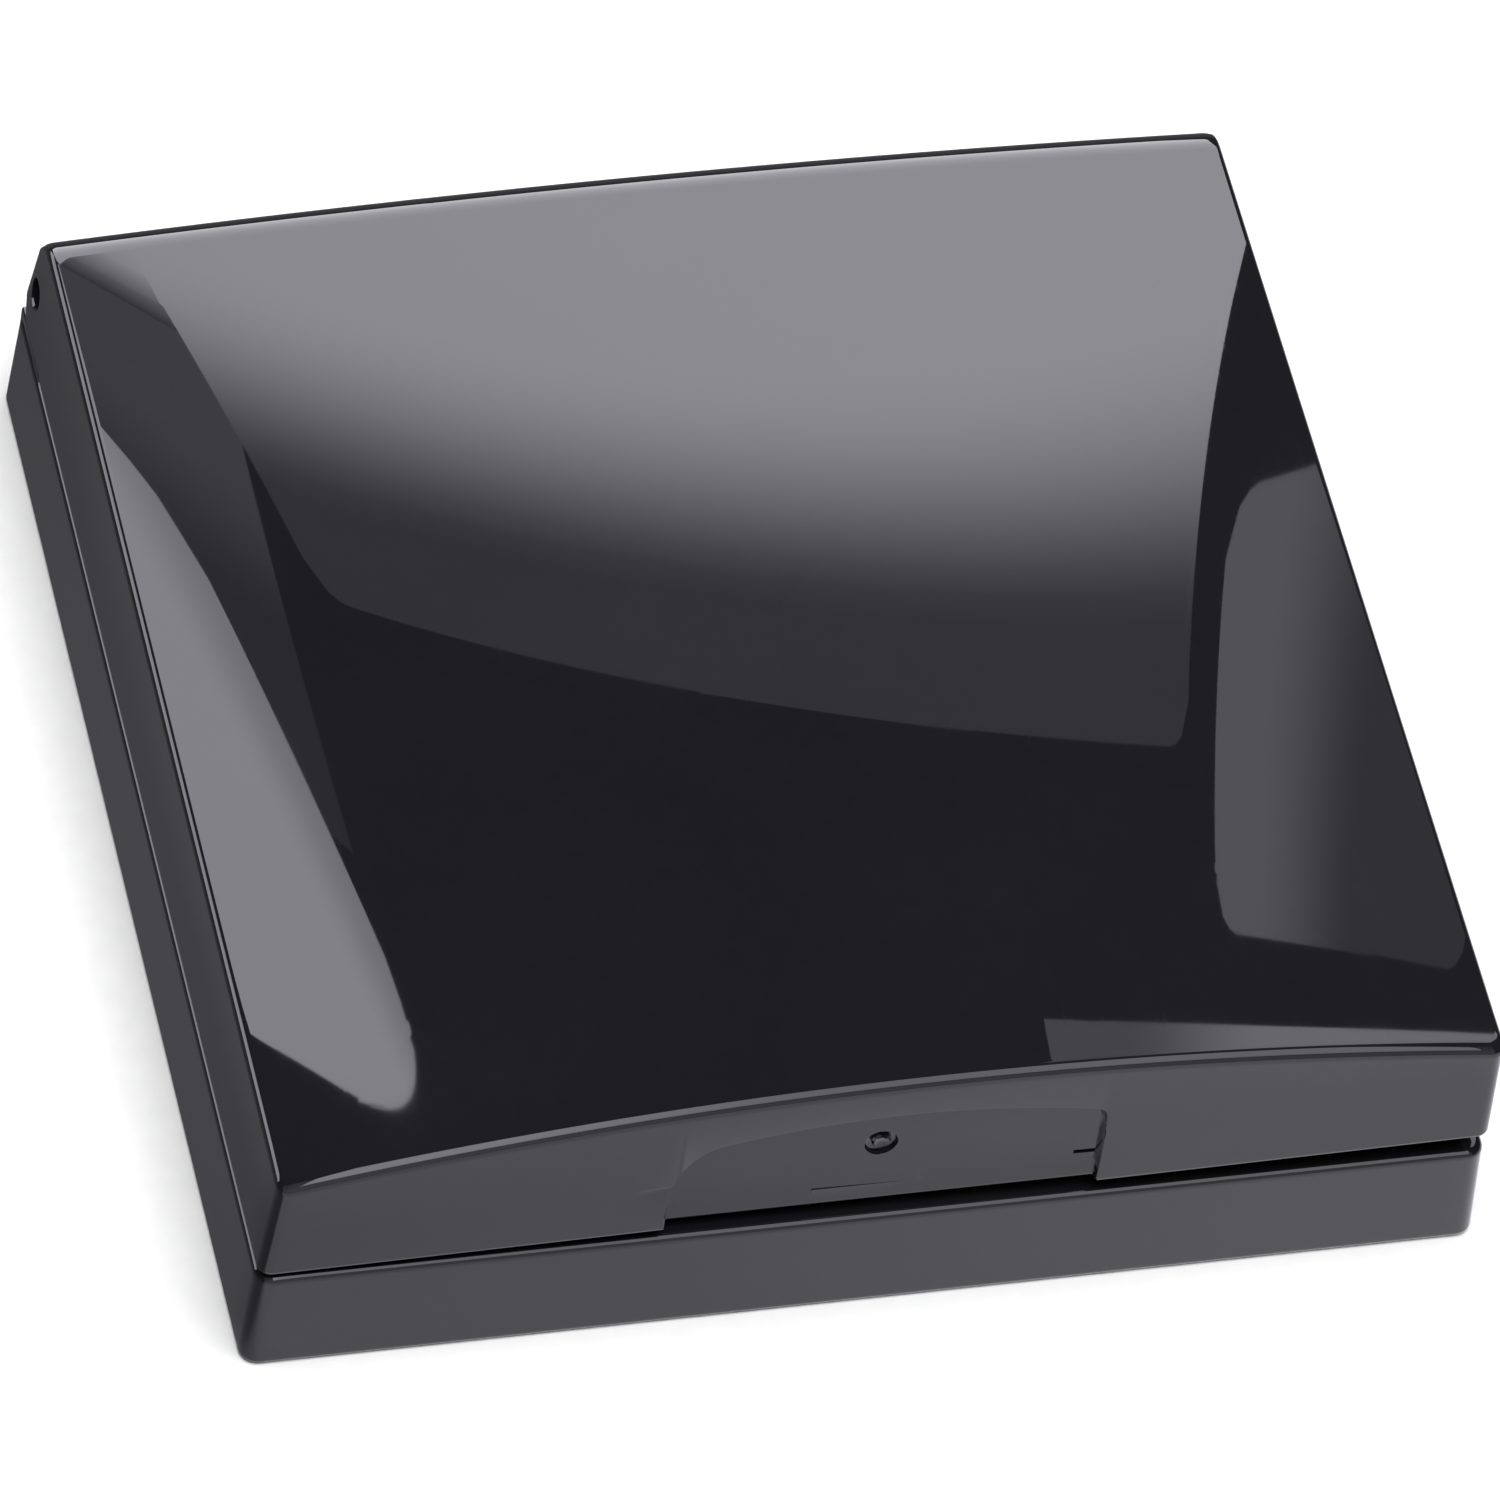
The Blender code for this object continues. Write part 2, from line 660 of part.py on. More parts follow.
def hook_profile():
    """The latch hook: a shelf on the front wall, a leg, and a small nose under the catch."""
    wall = -(SEAM_DEPTH / 2 - LID_WALL / 2)
    nose_top = CATCH_BOTTOM - SIDE_GAP
    return [
        (HOOK_BACK, HOOK_FOOT),
        (HOOK_BACK, HOOK_SHELF_TOP),
        (wall, HOOK_SHELF_TOP),
        (wall, HOOK_SHELF_BOTTOM),
        (HOOK_FRONT, HOOK_SHELF_BOTTOM),
        (HOOK_FRONT, nose_top),
        (HOOK_NOSE, nose_top - 0.1 * MM),
        (HOOK_NOSE, HOOK_FOOT + 0.3 * MM),
        (HOOK_FRONT + 0.2 * MM, HOOK_FOOT),
    ]


def add_lid_shell(material, parent):
    lid = loft("lid_shell", lid_rings())
    for side, word in SIDES:
        join(lid, ear_block("ear_" + word, side))
    join(lid, prism("latch_hook", hook_profile(), -HOOK_HALF, HOOK_HALF))
    for side, word in SIDES:
        far = side * (SEAM_WIDTH / 2 + PAST)
        knuckle_in = side * (KNUCKLE_INNER - SIDE_GAP)
        knuckle_out = side * EAR_INNER
        ends = (knuckle_out, far, EAR_BACK_RADIUS)
        cut(lid, swing_cutter("ear_relief_" + word, EAR_RADIUS, UPSTAND_BACK, *ends))
        low = (knuckle_in, HINGE_Y - KNUCKLE_RADIUS - 2 * SIDE_GAP, BASE_HEIGHT - MM)
        high = (knuckle_out, LID_BACK + PAST, HINGE_Z + KNUCKLE_RADIUS + 1.2 * SIDE_GAP)
        cut(lid, box("knuckle_window_" + word, low, high))
        hole_ends = (side * (EAR_INNER - MM), far)
        cut(lid, hinge_rod("ear_hole_" + word, PIN_HOLE, *hole_ends))
    middle = KNUCKLE_INNER + MM
    cut(lid, swing_cutter("back_wall_relief", BACK_WALL_SWING, BACK_WALL_FRONT, -middle, middle))
    cut(lid, notch_cutter())
    return finish(lid, material, LID_AXIS, parent)


def add_lid_liner(material, parent):
    outer = (LINER_HALF, LINER_FRONT, LINER_BACK)
    liner = loft(
        "lid_liner",
        [
            plate_ring(*outer, CORNER, LINER_FACE),
            plate_ring(*outer, CORNER, LINER_TOP),
        ],
    )
    pocket = (MIRROR_HALF + MIRROR_GAP, MIRROR_FRONT - MIRROR_GAP, MIRROR_BACK + MIRROR_GAP)
    heights = (LINER_FACE - PAST, LINER_PLATE)
    cut(liner, loft("mirror_pocket", [plate_ring(*pocket, MIRROR_CORNER, z) for z in heights]))
    channel_out = (outer[0] - LINER_WEB, outer[1] + LINER_WEB, outer[2] - LINER_WEB)
    channel_in = (pocket[0] + LINER_WEB, pocket[1] - LINER_WEB, pocket[2] + LINER_WEB)
    channel = loft(
        "border_channel",
        [
            plate_ring(*channel_out, CORNER, LINER_FACE + LINER_WEB),
            plate_ring(*channel_out, CORNER, LINER_TOP + PAST),
            plate_ring(*channel_in, MIRROR_CORNER, LINER_TOP + PAST),
            plate_ring(*channel_in, MIRROR_CORNER, LINER_FACE + LINER_WEB),
        ],
        closed=True,
    )
    cut(liner, channel)
    return finish(liner, material, (0, LINER_BACK, LINER_TOP), parent)


def add_mirror(material, parent):
    size = (MIRROR_HALF, MIRROR_FRONT, MIRROR_BACK)
    face = (MIRROR_HALF - MIRROR_BEVEL, MIRROR_FRONT + MIRROR_BEVEL, MIRROR_BACK - MIRROR_BEVEL)
    rings = [
        plate_ring(*face, MIRROR_CORNER - MIRROR_BEVEL, MIRROR_FACE),
        plate_ring(*size, MIRROR_CORNER, MIRROR_FACE + MIRROR_BEVEL),
        plate_ring(*size, MIRROR_CORNER, MIRROR_FACE + MIRROR_THICKNESS),
    ]
    mirror = loft("mirror", rings)
    centre = (MIRROR_FRONT + MIRROR_BACK) / 2
    return finish(mirror, material, (0, centre, MIRROR_FACE + MIRROR_THICKNESS), parent)


def add_mirror_tape(material, parent):
    size = (MIRROR_HALF - TAPE_MARGIN, MIRROR_FRONT + TAPE_MARGIN, MIRROR_BACK - TAPE_MARGIN)
    low = MIRROR_FACE + MIRROR_THICKNESS + TAPE_GAP
    high = LINER_PLATE - TAPE_GAP
    tape = loft("mirror_tape", [plate_ring(*size, MIRROR_CORNER, z) for z in (low, high)])
    return finish(tape, material, (0, (size[1] + size[2]) / 2, high), parent)


def main():
    clear_scene()
    gloss_black = look("gloss_black", (0.012, 0.011, 0.014), 0.06, coat=0.3)
    satin_black = look("satin_black", (0.018, 0.018, 0.020), 0.32)
    steel = look("steel", (0.35, 0.35, 0.37), 0.3, metallic=1.0)
    aluminium = look("aluminium", (0.78, 0.78, 0.80), 0.28, metallic=1.0)
    powder = look("powder", (0.78, 0.55, 0.40), 0.95)
    clear_sheet = look("clear_sheet", (0.95, 0.95, 0.95), 0.08, transmission=0.9)
    velour = look("velour", (0.86, 0.78, 0.70), 0.95)
    satin = look("satin", (0.03, 0.03, 0.035), 0.35)
    silvered = look("silvered_glass", (0.92, 0.93, 0.94), 0.02, metallic=1.0)
    adhesive = look("adhesive", (0.75, 0.74, 0.70), 0.6)
    paper = look("label_paper", (0.80, 0.79, 0.76), 0.5)

    base = add_empty("base_origin", (0, 0, 0))
    lid = add_empty("lid_axis", LID_AXIS)

    add_base_shell(gloss_black, base)
    add_base_label(paper, base)
    add_inner_tray(satin_black, base)
    add_pan_glue(adhesive, base)
    add_powder_pan(aluminium, base)
    add_pressed_powder(powder, base)
    add_clear_film(clear_sheet, base)
    add_puff_pad(velour, base)
    add_puff_ribbon(satin, base)
    for side, word in SIDES:
        add_hinge_pin(word, side, steel, base)

    add_lid_shell(gloss_black, lid)
    add_lid_liner(satin_black, lid)
    add_mirror(silvered, lid)
    add_mirror_tape(adhesive, lid)


main()
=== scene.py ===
"""Looks for the powder compact: detailed shells, soft goods, materials, soft boxes and the camera.

Lengths are in millimetres until a mesh is made, which turns them into the frame's metres.
Frame: +X right, +Y back to the hinge, +Z up, with the table at zero.
"""

from math import cos, hypot, pi, radians, sin, sqrt

import bmesh
import bpy
import numpy as np
from mathutils import Matrix, Vector


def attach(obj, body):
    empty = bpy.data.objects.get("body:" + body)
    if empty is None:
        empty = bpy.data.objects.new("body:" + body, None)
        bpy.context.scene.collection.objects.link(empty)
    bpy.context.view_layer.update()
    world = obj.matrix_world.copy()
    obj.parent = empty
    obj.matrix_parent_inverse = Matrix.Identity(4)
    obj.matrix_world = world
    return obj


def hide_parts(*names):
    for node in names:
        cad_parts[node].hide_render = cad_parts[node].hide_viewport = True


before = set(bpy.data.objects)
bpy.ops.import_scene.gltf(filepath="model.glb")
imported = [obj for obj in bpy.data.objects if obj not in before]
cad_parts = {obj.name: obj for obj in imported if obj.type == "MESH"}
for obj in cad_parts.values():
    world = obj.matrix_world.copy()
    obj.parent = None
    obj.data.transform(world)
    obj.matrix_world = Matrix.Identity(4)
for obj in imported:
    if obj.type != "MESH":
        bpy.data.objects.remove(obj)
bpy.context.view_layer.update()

MM = 0.001

# Sizes shared with the frame, in millimetres
HALF_X = 36.0
HALF_Y = 36.25
BASE_HEIGHT = 7.44
BASE_DRAFT = 0.36
BASE_BACK = 36.6
BASE_WALL = 1.6
BASE_FLOOR = 1.5
FOOT_RING = 5.0
FOOT_RECESS = 0.5
SHOULDER_START = 30.7
SHOULDER_TOP = 7.95
LID_GAP = 0.35
LID_TWIST = 1.06
LID_DRAFT = 0.68
LID_WALL = 1.5
LID_BACK = 36.5
FRONT_CREST = 17.93
BACK_CREST = 16.25
FRONT_SAG = 3.17
BACK_SAG = 1.0
FRONT_SKEW = 1.36
BACK_SKEW = 0.8
HINGE_Y = 34.3
HINGE_Z = 11.2
PIN_RADIUS = 0.8
PIN_HOLE = 0.95
PIN_INNER_END = 22.6
PIN_OUTER_END = 35.1
PIN_STATIONS = (
    (PIN_INNER_END, 0.62),
    (PIN_INNER_END + 0.2, PIN_RADIUS),
    (PIN_OUTER_END - 0.2, PIN_RADIUS),
    (PIN_OUTER_END, 0.6),
)
KNUCKLE_RADIUS = 2.1
KNUCKLE_INNER = 22.0
KNUCKLE_OUTER = 30.7
KNUCKLE_STEM_BACK = 35.2
EAR_INNER = 31.0
EAR_RADIUS = 2.95
EAR_BACK_RADIUS = 2.25
BACK_WALL_SWING = 3.4
UPSTAND_BACK = 30.4
SIDE_GAP = 0.3
KNUCKLE_BAY_FRONT = HINGE_Y - KNUCKLE_RADIUS - SIDE_GAP

# Tray and what lies in it
TRAY_GAP = 0.35
TRAY_FOOT = 1.8
TRAY_CORNER = 0.6
DECK_TOP = 6.9
DECK_THICKNESS = 1.6
SKIRT = 1.0
UPSTAND_TOP = 8.6
WELL_RADIUS = 29.5
WELL_Y = -1.0
SCOOP_RADIUS = 7.0
SCOOP_DEPTH = 1.0
PAN_RADIUS = 29.1
PAN_WALL = 0.45
PAN_BOTTOM = 1.95
PAN_TOP = 5.75
POWDER_RADIUS = 28.4
POWDER_BOTTOM = 2.5
POWDER_TOP = 5.4
FILM_RADIUS = 27.9
FILM_BOTTOM = 5.5
FILM_TOP = 5.62
PUFF_RADIUS = 27.2
PUFF_BOTTOM = 5.8
PUFF_TOP = 9.2
PUFF_TIMES = 10
PUFF_CAP = 7.5
PUFF_SPOKES = 168
PUFF_SEAM = 0.266
RIBBON_HALF = 7.0
RIBBON_THICKNESS = 0.25
RIBBON_UNDER = 9.35
RIBBON_BEND = 1.9
RIBBON_SHOULDER = 26.0
FLUTES = 40
FILM_LIFT = 0.06
SCOOP_FLOOR = SCOOP_RADIUS - 2.6

# Liner and mirror in the lid
LINER_HALF = 33.6
LINER_FRONT = -33.85
LINER_BACK = 29.2
LINER_FACE = 9.9
LINER_PLATE = 12.2
LINER_TOP = 13.2
LINER_WEB = 1.0
MIRROR_HALF = 28.5
MIRROR_FRONT = -29.5
MIRROR_BACK = 26.0
MIRROR_FACE = 10.3
MIRROR_THICKNESS = 1.2
MIRROR_GAP = 0.3
MIRROR_CORNER = 1.5
TAPE_HALF = 24.0
TAPE_FRONT = -25.0
TAPE_BACK = 21.5
LABEL_HALF_X = 22.0
LABEL_HALF_Y = 13.0
LABEL_CORNER = 2.0

# Edges, which the detailed shells round off
CORNER = 1.1
LID_CORNER = 0.8
FRONT_ROUND = 0.8
LEFT_ROUND = 0.5
RIGHT_ROUND = 0.3
BACK_ROUND = 3.1
BACK_RISE = 3.9
RIM_EDGE = 0.3
BASE_EDGE = 0.45
FOOT_EDGE = 0.4
HOLD = 0.05

# Thumb notch
NOTCH_HALF = 12.5
NOTCH_SIDE = 6.1
NOTCH_CROWN = 7.6
NOTCH_FOLD = 1.8
NOTCH_LEFT_ROUND = 2.4
NOTCH_RIGHT_ROUND = 0.6
NOTCH_REACH = 34.9

# Mark where the moulding gate was broken off, and a nick beside it
GATE_X = -0.3
GATE_Z = 13.0
GATE_FACE = -35.14
NICK = ((11.2, -37, 10.45), (12.45, -35.15, 10.75))


def mix(a, b, t):
    return a + (b - a) * t


def smooth(low, high, value):
    t = np.clip((value - low) / (high - low), 0, 1)
    return t * t * (3 - 2 * t)


# Meshes


def mesh_object(name, mesh, angle=35):
    """Turns a bmesh in millimetres into a smooth object in metres, sharp above an angle."""
    bmesh.ops.recalc_face_normals(mesh, faces=mesh.faces)
    data = bpy.data.meshes.new(name)
    mesh.to_mesh(data)
    mesh.free()
    data.transform(Matrix.Scale(MM, 4))
    obj = bpy.data.objects.new(name, data)
    bpy.context.scene.collection.objects.link(obj)
    shade(obj, angle)
    return obj


def shade(obj, angle=35):
    obj.data.shade_smooth()
    obj.data.set_sharp_from_angle(angle=radians(angle))


def cap(mesh, loop):
    middle = sum((vert.co for vert in loop), Vector()) / len(loop)
    peak = mesh.verts.new(middle)
    for i, vert in enumerate(loop):
        mesh.faces.new((vert, loop[(i + 1) % len(loop)], peak))


def loft(name, rings, closed=False, angle=35):
    """Skins loops of equal length, capped at both ends or closed on itself."""
    mesh = bmesh.new()
    loops = [[mesh.verts.new(point) for point in points] for points in rings]
    pairs = list(zip(loops, loops[1:]))
    if closed:
        pairs.append((loops[-1], loops[0]))
    for lower, upper in pairs:
        for i in range(len(lower)):
            j = (i + 1) % len(lower)
            mesh.faces.new((lower[i], lower[j], upper[j], upper[i]))
    if not closed:
        cap(mesh, loops[0])
        cap(mesh, loops[-1])
    return mesh_object(name, mesh, angle)


def skin(mesh, grid):
    """Fills a grid of vertices with faces."""
    for a, b in zip(grid, grid[1:]):
        for j in range(len(a) - 1):
            mesh.faces.new((a[j], b[j], b[j + 1], a[j + 1]))


def prism(name, profile, x_start, x_end):
    """A (y, z) profile drawn out along X."""
    mesh = bmesh.new()
    loops = [[mesh.verts.new((x, y, z)) for y, z in profile] for x in (x_start, x_end)]
    for loop in loops:
        mesh.faces.new(loop)
    for i in range(len(profile)):
        j = (i + 1) % len(profile)
        mesh.faces.new((loops[0][i], loops[0][j], loops[1][j], loops[1][i]))
    return mesh_object(name, mesh)


def box(name, low, high):
    profile = ((low[1], low[2]), (high[1], low[2]), (high[1], high[2]), (low[1], high[2]))
    return prism(name, profile, low[0], high[0])


def hinge_arc(radius, start, end, steps=24):
    turns = [radians(mix(start, end, i / steps)) for i in range(steps + 1)]
    return [(HINGE_Y + radius * cos(t), HINGE_Z + radius * sin(t)) for t in turns]


def rod(name, stations, steps=48, y=HINGE_Y, z=HINGE_Z):
    """A turned rod along X, given as (x, radius) stations."""
    rings = []
    for x, radius in stations:
        turns = [2 * pi * i / steps for i in range(steps)]
        rings.append([(x, y + radius * cos(t), z + radius * sin(t)) for t in turns])
    return loft(name, rings)


def carve(obj, tools, operation):
    """Applies Booleans for good and removes the tools."""
    for tool in tools:
        modifier = obj.modifiers.new(tool.name, "BOOLEAN")
        modifier.operation = operation
        modifier.solver = "EXACT"
        modifier.object = tool
    settle(obj)
    for tool in tools:
        bpy.data.objects.remove(tool, do_unlink=True)


def settle(obj):
    """Makes an object's modifiers part of its mesh."""
    bpy.context.view_layer.update()
    graph = bpy.context.evaluated_depsgraph_get()
    data = bpy.data.meshes.new_from_object(obj.evaluated_get(graph))
    obj.modifiers.clear()
    obj.data = data


def soften(obj, width, angle=40, segments=2):
    """Rounds the sharp edges of a piece a little."""
    modifier = obj.modifiers.new("soften", "BEVEL")
    modifier.width = width * MM
    modifier.segments = segments
    modifier.limit_method = "ANGLE"
    modifier.angle_limit = radians(angle)
    modifier.use_clamp_overlap = True
    modifier.harden_normals = False
    settle(obj)
    shade(obj, 30)


# Outlines in plan


def spread(points, steps):
    """Fills each gap in a list of numbers with the given number of steps."""
    filled = []
    for (a, b), n in zip(zip(points, points[1:]), steps):
        filled += [mix(a, b, i / n) for i in range(n)]
    return filled + [points[-1]]


def notch_columns():
    """Fractions along the front side, close together at the notch's two ends."""
    left = [-NOTCH_HALF - 0.16, -NOTCH_HALF - 0.06, -NOTCH_HALF]
    right = [NOTCH_HALF, NOTCH_HALF + 0.06, NOTCH_HALF + 0.16]
    marks = [-NOTCH_REACH] + left + [NOTCH_LEFT_ROUND - NOTCH_HALF]
    marks += [NOTCH_HALF - NOTCH_RIGHT_ROUND] + right + [NOTCH_REACH]
    steps = (18, 1, 1, 12, 24, 6, 1, 1, 18)
    return [x / NOTCH_REACH for x in spread(marks, steps)]


FRONT_COLUMNS = notch_columns()
SIDE_SHARES = [1 - (1 - k / 56) ** 1.7 for k in range(1, 56)]
BACK_SHARES = [k / 48 for k in range(1, 48)]
ARC_STEPS = 7


def outline(left, right, front, back, radius):
    """A rounded rectangle in plan, anticlockwise from its front left corner."""
    corners = (
        (left + radius, front + radius, pi),
        (right - radius, front + radius, 1.5 * pi),
        (right - radius, back - radius, 0.0),
        (left + radius, back - radius, 0.5 * pi),
    )
    arcs = []
    for x, y, start in corners:
        turns = [start + 0.5 * pi * i / ARC_STEPS for i in range(ARC_STEPS + 1)]
        arcs.append([(x + radius * cos(t), y + radius * sin(t)) for t in turns])
    points = list(arcs[0])
    for share in FRONT_COLUMNS[1:-1]:
        reach = right - radius if share > 0 else -left - radius
        points.append((reach * share, front))
    for i, shares in ((1, SIDE_SHARES), (2, BACK_SHARES), (3, [1 - t for t in SIDE_SHARES[::-1]])):
        points += arcs[i]
        a, b = arcs[i][-1], arcs[(i + 1) % 4][0]
        points += [(mix(a[0], b[0], t), mix(a[1], b[1], t)) for t in shares]
    return points


def ring(left, right, front, back, radius, height):
    points = outline(left, right, front, back, radius)
    return [(x, y, height(x, y) if callable(height) else height) for x, y in points]


def circle(radius, height, steps=96, x=0.0, y=WELL_Y):
    turns = [2 * pi * i / steps for i in range(steps)]
    return [(x + radius * cos(t), y + radius * sin(t), height) for t in turns]


# Shape of the lid


def rim_height(x, y):
    across = (x + HALF_X) / (2 * HALF_X)
    along = (HINGE_Y - y) / (HINGE_Y + HALF_Y)
    return BASE_HEIGHT + LID_GAP + LID_TWIST * across * max(0.0, along)


def top_height(x, y):
    reach = HALF_X - LID_DRAFT
    along = (HINGE_Y - y) / (HINGE_Y + HALF_Y - LID_DRAFT)
    crest = mix(BACK_CREST, FRONT_CREST, along)
    sag = mix(BACK_SAG, FRONT_SAG, along)
    skew = mix(BACK_SKEW, FRONT_SKEW, along)
    return crest - sag * (x / reach) ** 2 + skew * (x + reach) / (2 * reach)


def notch_top(x):
    """Height of the notch's arched edge above the lid's rim."""
    x = max(-NOTCH_HALF, min(NOTCH_HALF, x))
    rise = mix(NOTCH_CROWN, NOTCH_SIDE, (x / NOTCH_HALF) ** 2)
    radius = NOTCH_RIGHT_ROUND if x > 0 else NOTCH_LEFT_ROUND
    into = abs(x) - (NOTCH_HALF - radius)
    if into > 0:
        rise -= radius - sqrt(max(0.0, radius**2 - into**2))
    return rise


def notch_depth(x, above):
    """How far the front wall is set back at x, at a height above the rim."""
    past_side = abs(x) - NOTCH_HALF
    share = 1 - smooth(-0.01, 0.15, past_side)
    slope = mix(0.85, 0.62, (x + NOTCH_HALF) / (2 * NOTCH_HALF))
    depth = slope - 0.16 * max(0.0, 1 - above / NOTCH_FOLD)
    return depth * share


def wall_ring(draft, insets, height):
    """A loop round the lid. Its left, right, front and back sides may be set in differently."""
    if isinstance(insets, (int, float)):
        insets = [insets] * 4
    left, right, front, back = insets
    sides = (draft + left - HALF_X, HALF_X - right, draft + front - HALF_Y, LID_BACK - back)
    return ring(*sides, LID_CORNER, height)


def lid_wall_rings():
    """The lid's outer wall from its rim up to where the top edge starts to turn."""
    rings = []

    def add(inset, height, share=1.0):
        loop = []
        for x, y, z in wall_ring(0, inset, height):
            above = z - rim_height(x, y)
            drafted = LID_DRAFT * above / (edge_height(x, y) - rim_height(x, y))
            at_front = y < inset - HALF_Y + 0.01
            x += drafted * (0.5 - x / (2 * HALF_X))
            y += drafted * (LID_BACK - y) / (LID_BACK + HALF_Y)
            if at_front:
                y += share * notch_depth(x, above)
            loop.append((x, y, z))
        rings.append(loop)

    for i in range(5):
        turn = radians(mix(0, 90, i / 4))
        lift = RIM_EDGE * (1 - cos(turn))
        add(RIM_EDGE * (1 - sin(turn)), lambda x, y, lift=lift: rim_height(x, y) + lift)
    add(0, lambda x, y: rim_height(x, y) + RIM_EDGE + HOLD)

    def level(extra, scale):
        def height(x, y):
            lower = 1 - 0.6 * float(smooth(-32, 33, y))
            lower *= 1 - 0.14 * float(smooth(NOTCH_HALF + 0.5, NOTCH_HALF + 10, abs(x)))
            rise = notch_top(x) * scale + extra - RIM_EDGE
            return rim_height(x, y) + RIM_EDGE + rise * lower

        return height

    for scale, extra, share in (
        (0.15, 0, 1),
        (0.3, 0, 1),
        (0.6, 0, 1),
        (0.9, 0, 1),
        (1.0, -0.05, 1),
        (1.0, 0, 0.85),
        (1.0, 0.02, 0.15),
        (1.0, 0.10, 0.02),
        (1.0, 0.18, 0),
    ):
        add(0, level(extra, scale), share)
    return rings


def edge_height(x, y):
    return top_height(x, y) - back_fall(y) - edge_drop(x, y)


def back_fall(y):
    """How far the top has fallen where it turns down into the back wall."""
    share = min(1.0, max(0.0, (y - LID_BACK + BACK_ROUND) / BACK_ROUND))
    return BACK_RISE * (1 - sqrt(1 - share**2))


def edge_drop(x, y):
    """How far below the top the rounded edge starts: most at the front, none at the back."""
    nearest = (
        (x + HALF_X - LID_DRAFT, LEFT_ROUND),
        (HALF_X - x, RIGHT_ROUND),
        (y + HALF_Y - LID_DRAFT, FRONT_ROUND),
        (LID_BACK - y, 0.0),
    )
    pulls = [(max(0.02, gap) ** -2, size) for gap, size in nearest]
    return sum(pull * size for pull, size in pulls) / sum(pull for pull, _ in pulls)


def lid_top_rings():
    """Over the rounded top edge. The back turns on a larger radius than the other sides."""
    rings = []
    levels = 12
    outer = wall_ring(LID_DRAFT, 0, 0)
    drops = [edge_drop(x, y) for x, y, _ in outer]
    rings.append([
        (x, y, top_height(x, y) - back_fall(y) - drop - HOLD)
        for (x, y, _), drop in zip(outer, drops)
    ])
    for i in range(levels + 1):
        turn = radians(90 * i / levels)
        share = 1 - cos(turn)
        insets = [size * share for size in (LEFT_ROUND, RIGHT_ROUND, FRONT_ROUND, BACK_ROUND)]
        loop = []
        for (x, y, _), drop in zip(wall_ring(LID_DRAFT, insets, 0), drops):
            loop.append((x, y, top_height(x, y) - back_fall(y) - drop * (1 - sin(turn))))
        rings.append(loop)
    return rings


def crown_rings(insets, offset, steps, hold=()):
    """Shrinking loops that fill the top, or the ceiling an offset below it."""
    border = wall_ring(LID_DRAFT, insets, 0)
    middle = (LID_DRAFT + insets[2] - HALF_Y + (LID_BACK - insets[3])) / 2
    rings = []
    for share in list(hold) + [i / steps for i in range(1, steps)]:
        loop = []
        for x, y, _ in border:
            x, y = mix(x, 0.0, share), mix(y, middle, share)
            loop.append((x, y, top_height(x, y) - offset))
        rings.append(loop)
    return rings


def lid_shell():
    def ceiling_height(x, y):
        return top_height(x, y) - LID_WALL

    ceiling_insets = (LID_WALL + 0.6, LID_WALL + 0.6, LID_WALL + 0.6, 2.6)
    ceiling = crown_rings(ceiling_insets, LID_WALL, 5)[::-1]
    ceiling.append(wall_ring(LID_DRAFT, ceiling_insets, ceiling_height))
    inner = [
        wall_ring(LID_DRAFT, LID_WALL, lambda x, y: ceiling_height(x, y) - 0.7),
        wall_ring(0, LID_WALL, lambda x, y: rim_height(x, y) + 0.1),
        wall_ring(0, LID_WALL - 0.1, rim_height),
    ]
    crown = crown_rings((LEFT_ROUND, RIGHT_ROUND, FRONT_ROUND, BACK_ROUND), 0, 36, (0.002, 0.01))
    lid = loft("lid", ceiling + inner + lid_wall_rings() + lid_top_rings() + crown)
    tools = []
    for side in (-1, 1):
        profile = hinge_arc(EAR_RADIUS, 180, 294)
        profile += [(HINGE_Y + 1.2, HINGE_Z + 1.3), (HINGE_Y + 0.6, HINGE_Z + 2.8)]
        profile += [(HINGE_Y - 1.8, HINGE_Z + 3.3), (HINGE_Y - EAR_RADIUS, HINGE_Z + 2.3)]
        tools.append(prism("ear", profile, side * EAR_INNER, side * (HALF_X - 1.1)))
    tools.append(prism("latch_hook", hook_profile(), -4.0, 4.0))
    carve(lid, tools, "UNION")
    tools = []
    for side in (-1, 1):
        far = side * (HALF_X + 2)
        tools.append(swing_cutter(EAR_RADIUS, UPSTAND_BACK, side * EAR_INNER, far, EAR_BACK_RADIUS))
        low = (side * (KNUCKLE_INNER - SIDE_GAP), HINGE_Y - KNUCKLE_RADIUS - 2 * SIDE_GAP, BASE_HEIGHT - 1)
        high = (side * EAR_INNER, LID_BACK + 2, HINGE_Z + KNUCKLE_RADIUS + 1.2 * SIDE_GAP)
        tools.append(box("window", low, high))
        mouth = HALF_X - 0.26
        stations = (
            (EAR_INNER - 1, PIN_HOLE),
            (mouth - 0.1, PIN_HOLE),
            (mouth + 0.1, PIN_HOLE + 0.2),
            (HALF_X + 2, PIN_HOLE + 0.2),
        )
        tools.append(rod("ear_hole", [(side * x, r) for x, r in stations]))
    middle = KNUCKLE_INNER + 1
    tools.append(swing_cutter(BACK_WALL_SWING, 33.0, -middle, middle))
    tools += [gate_ring(), box("nick", *NICK)]
    carve(lid, tools, "DIFFERENCE")
    carve(lid, [gate_stub()], "UNION")
    shade(lid, 30)
    return lid


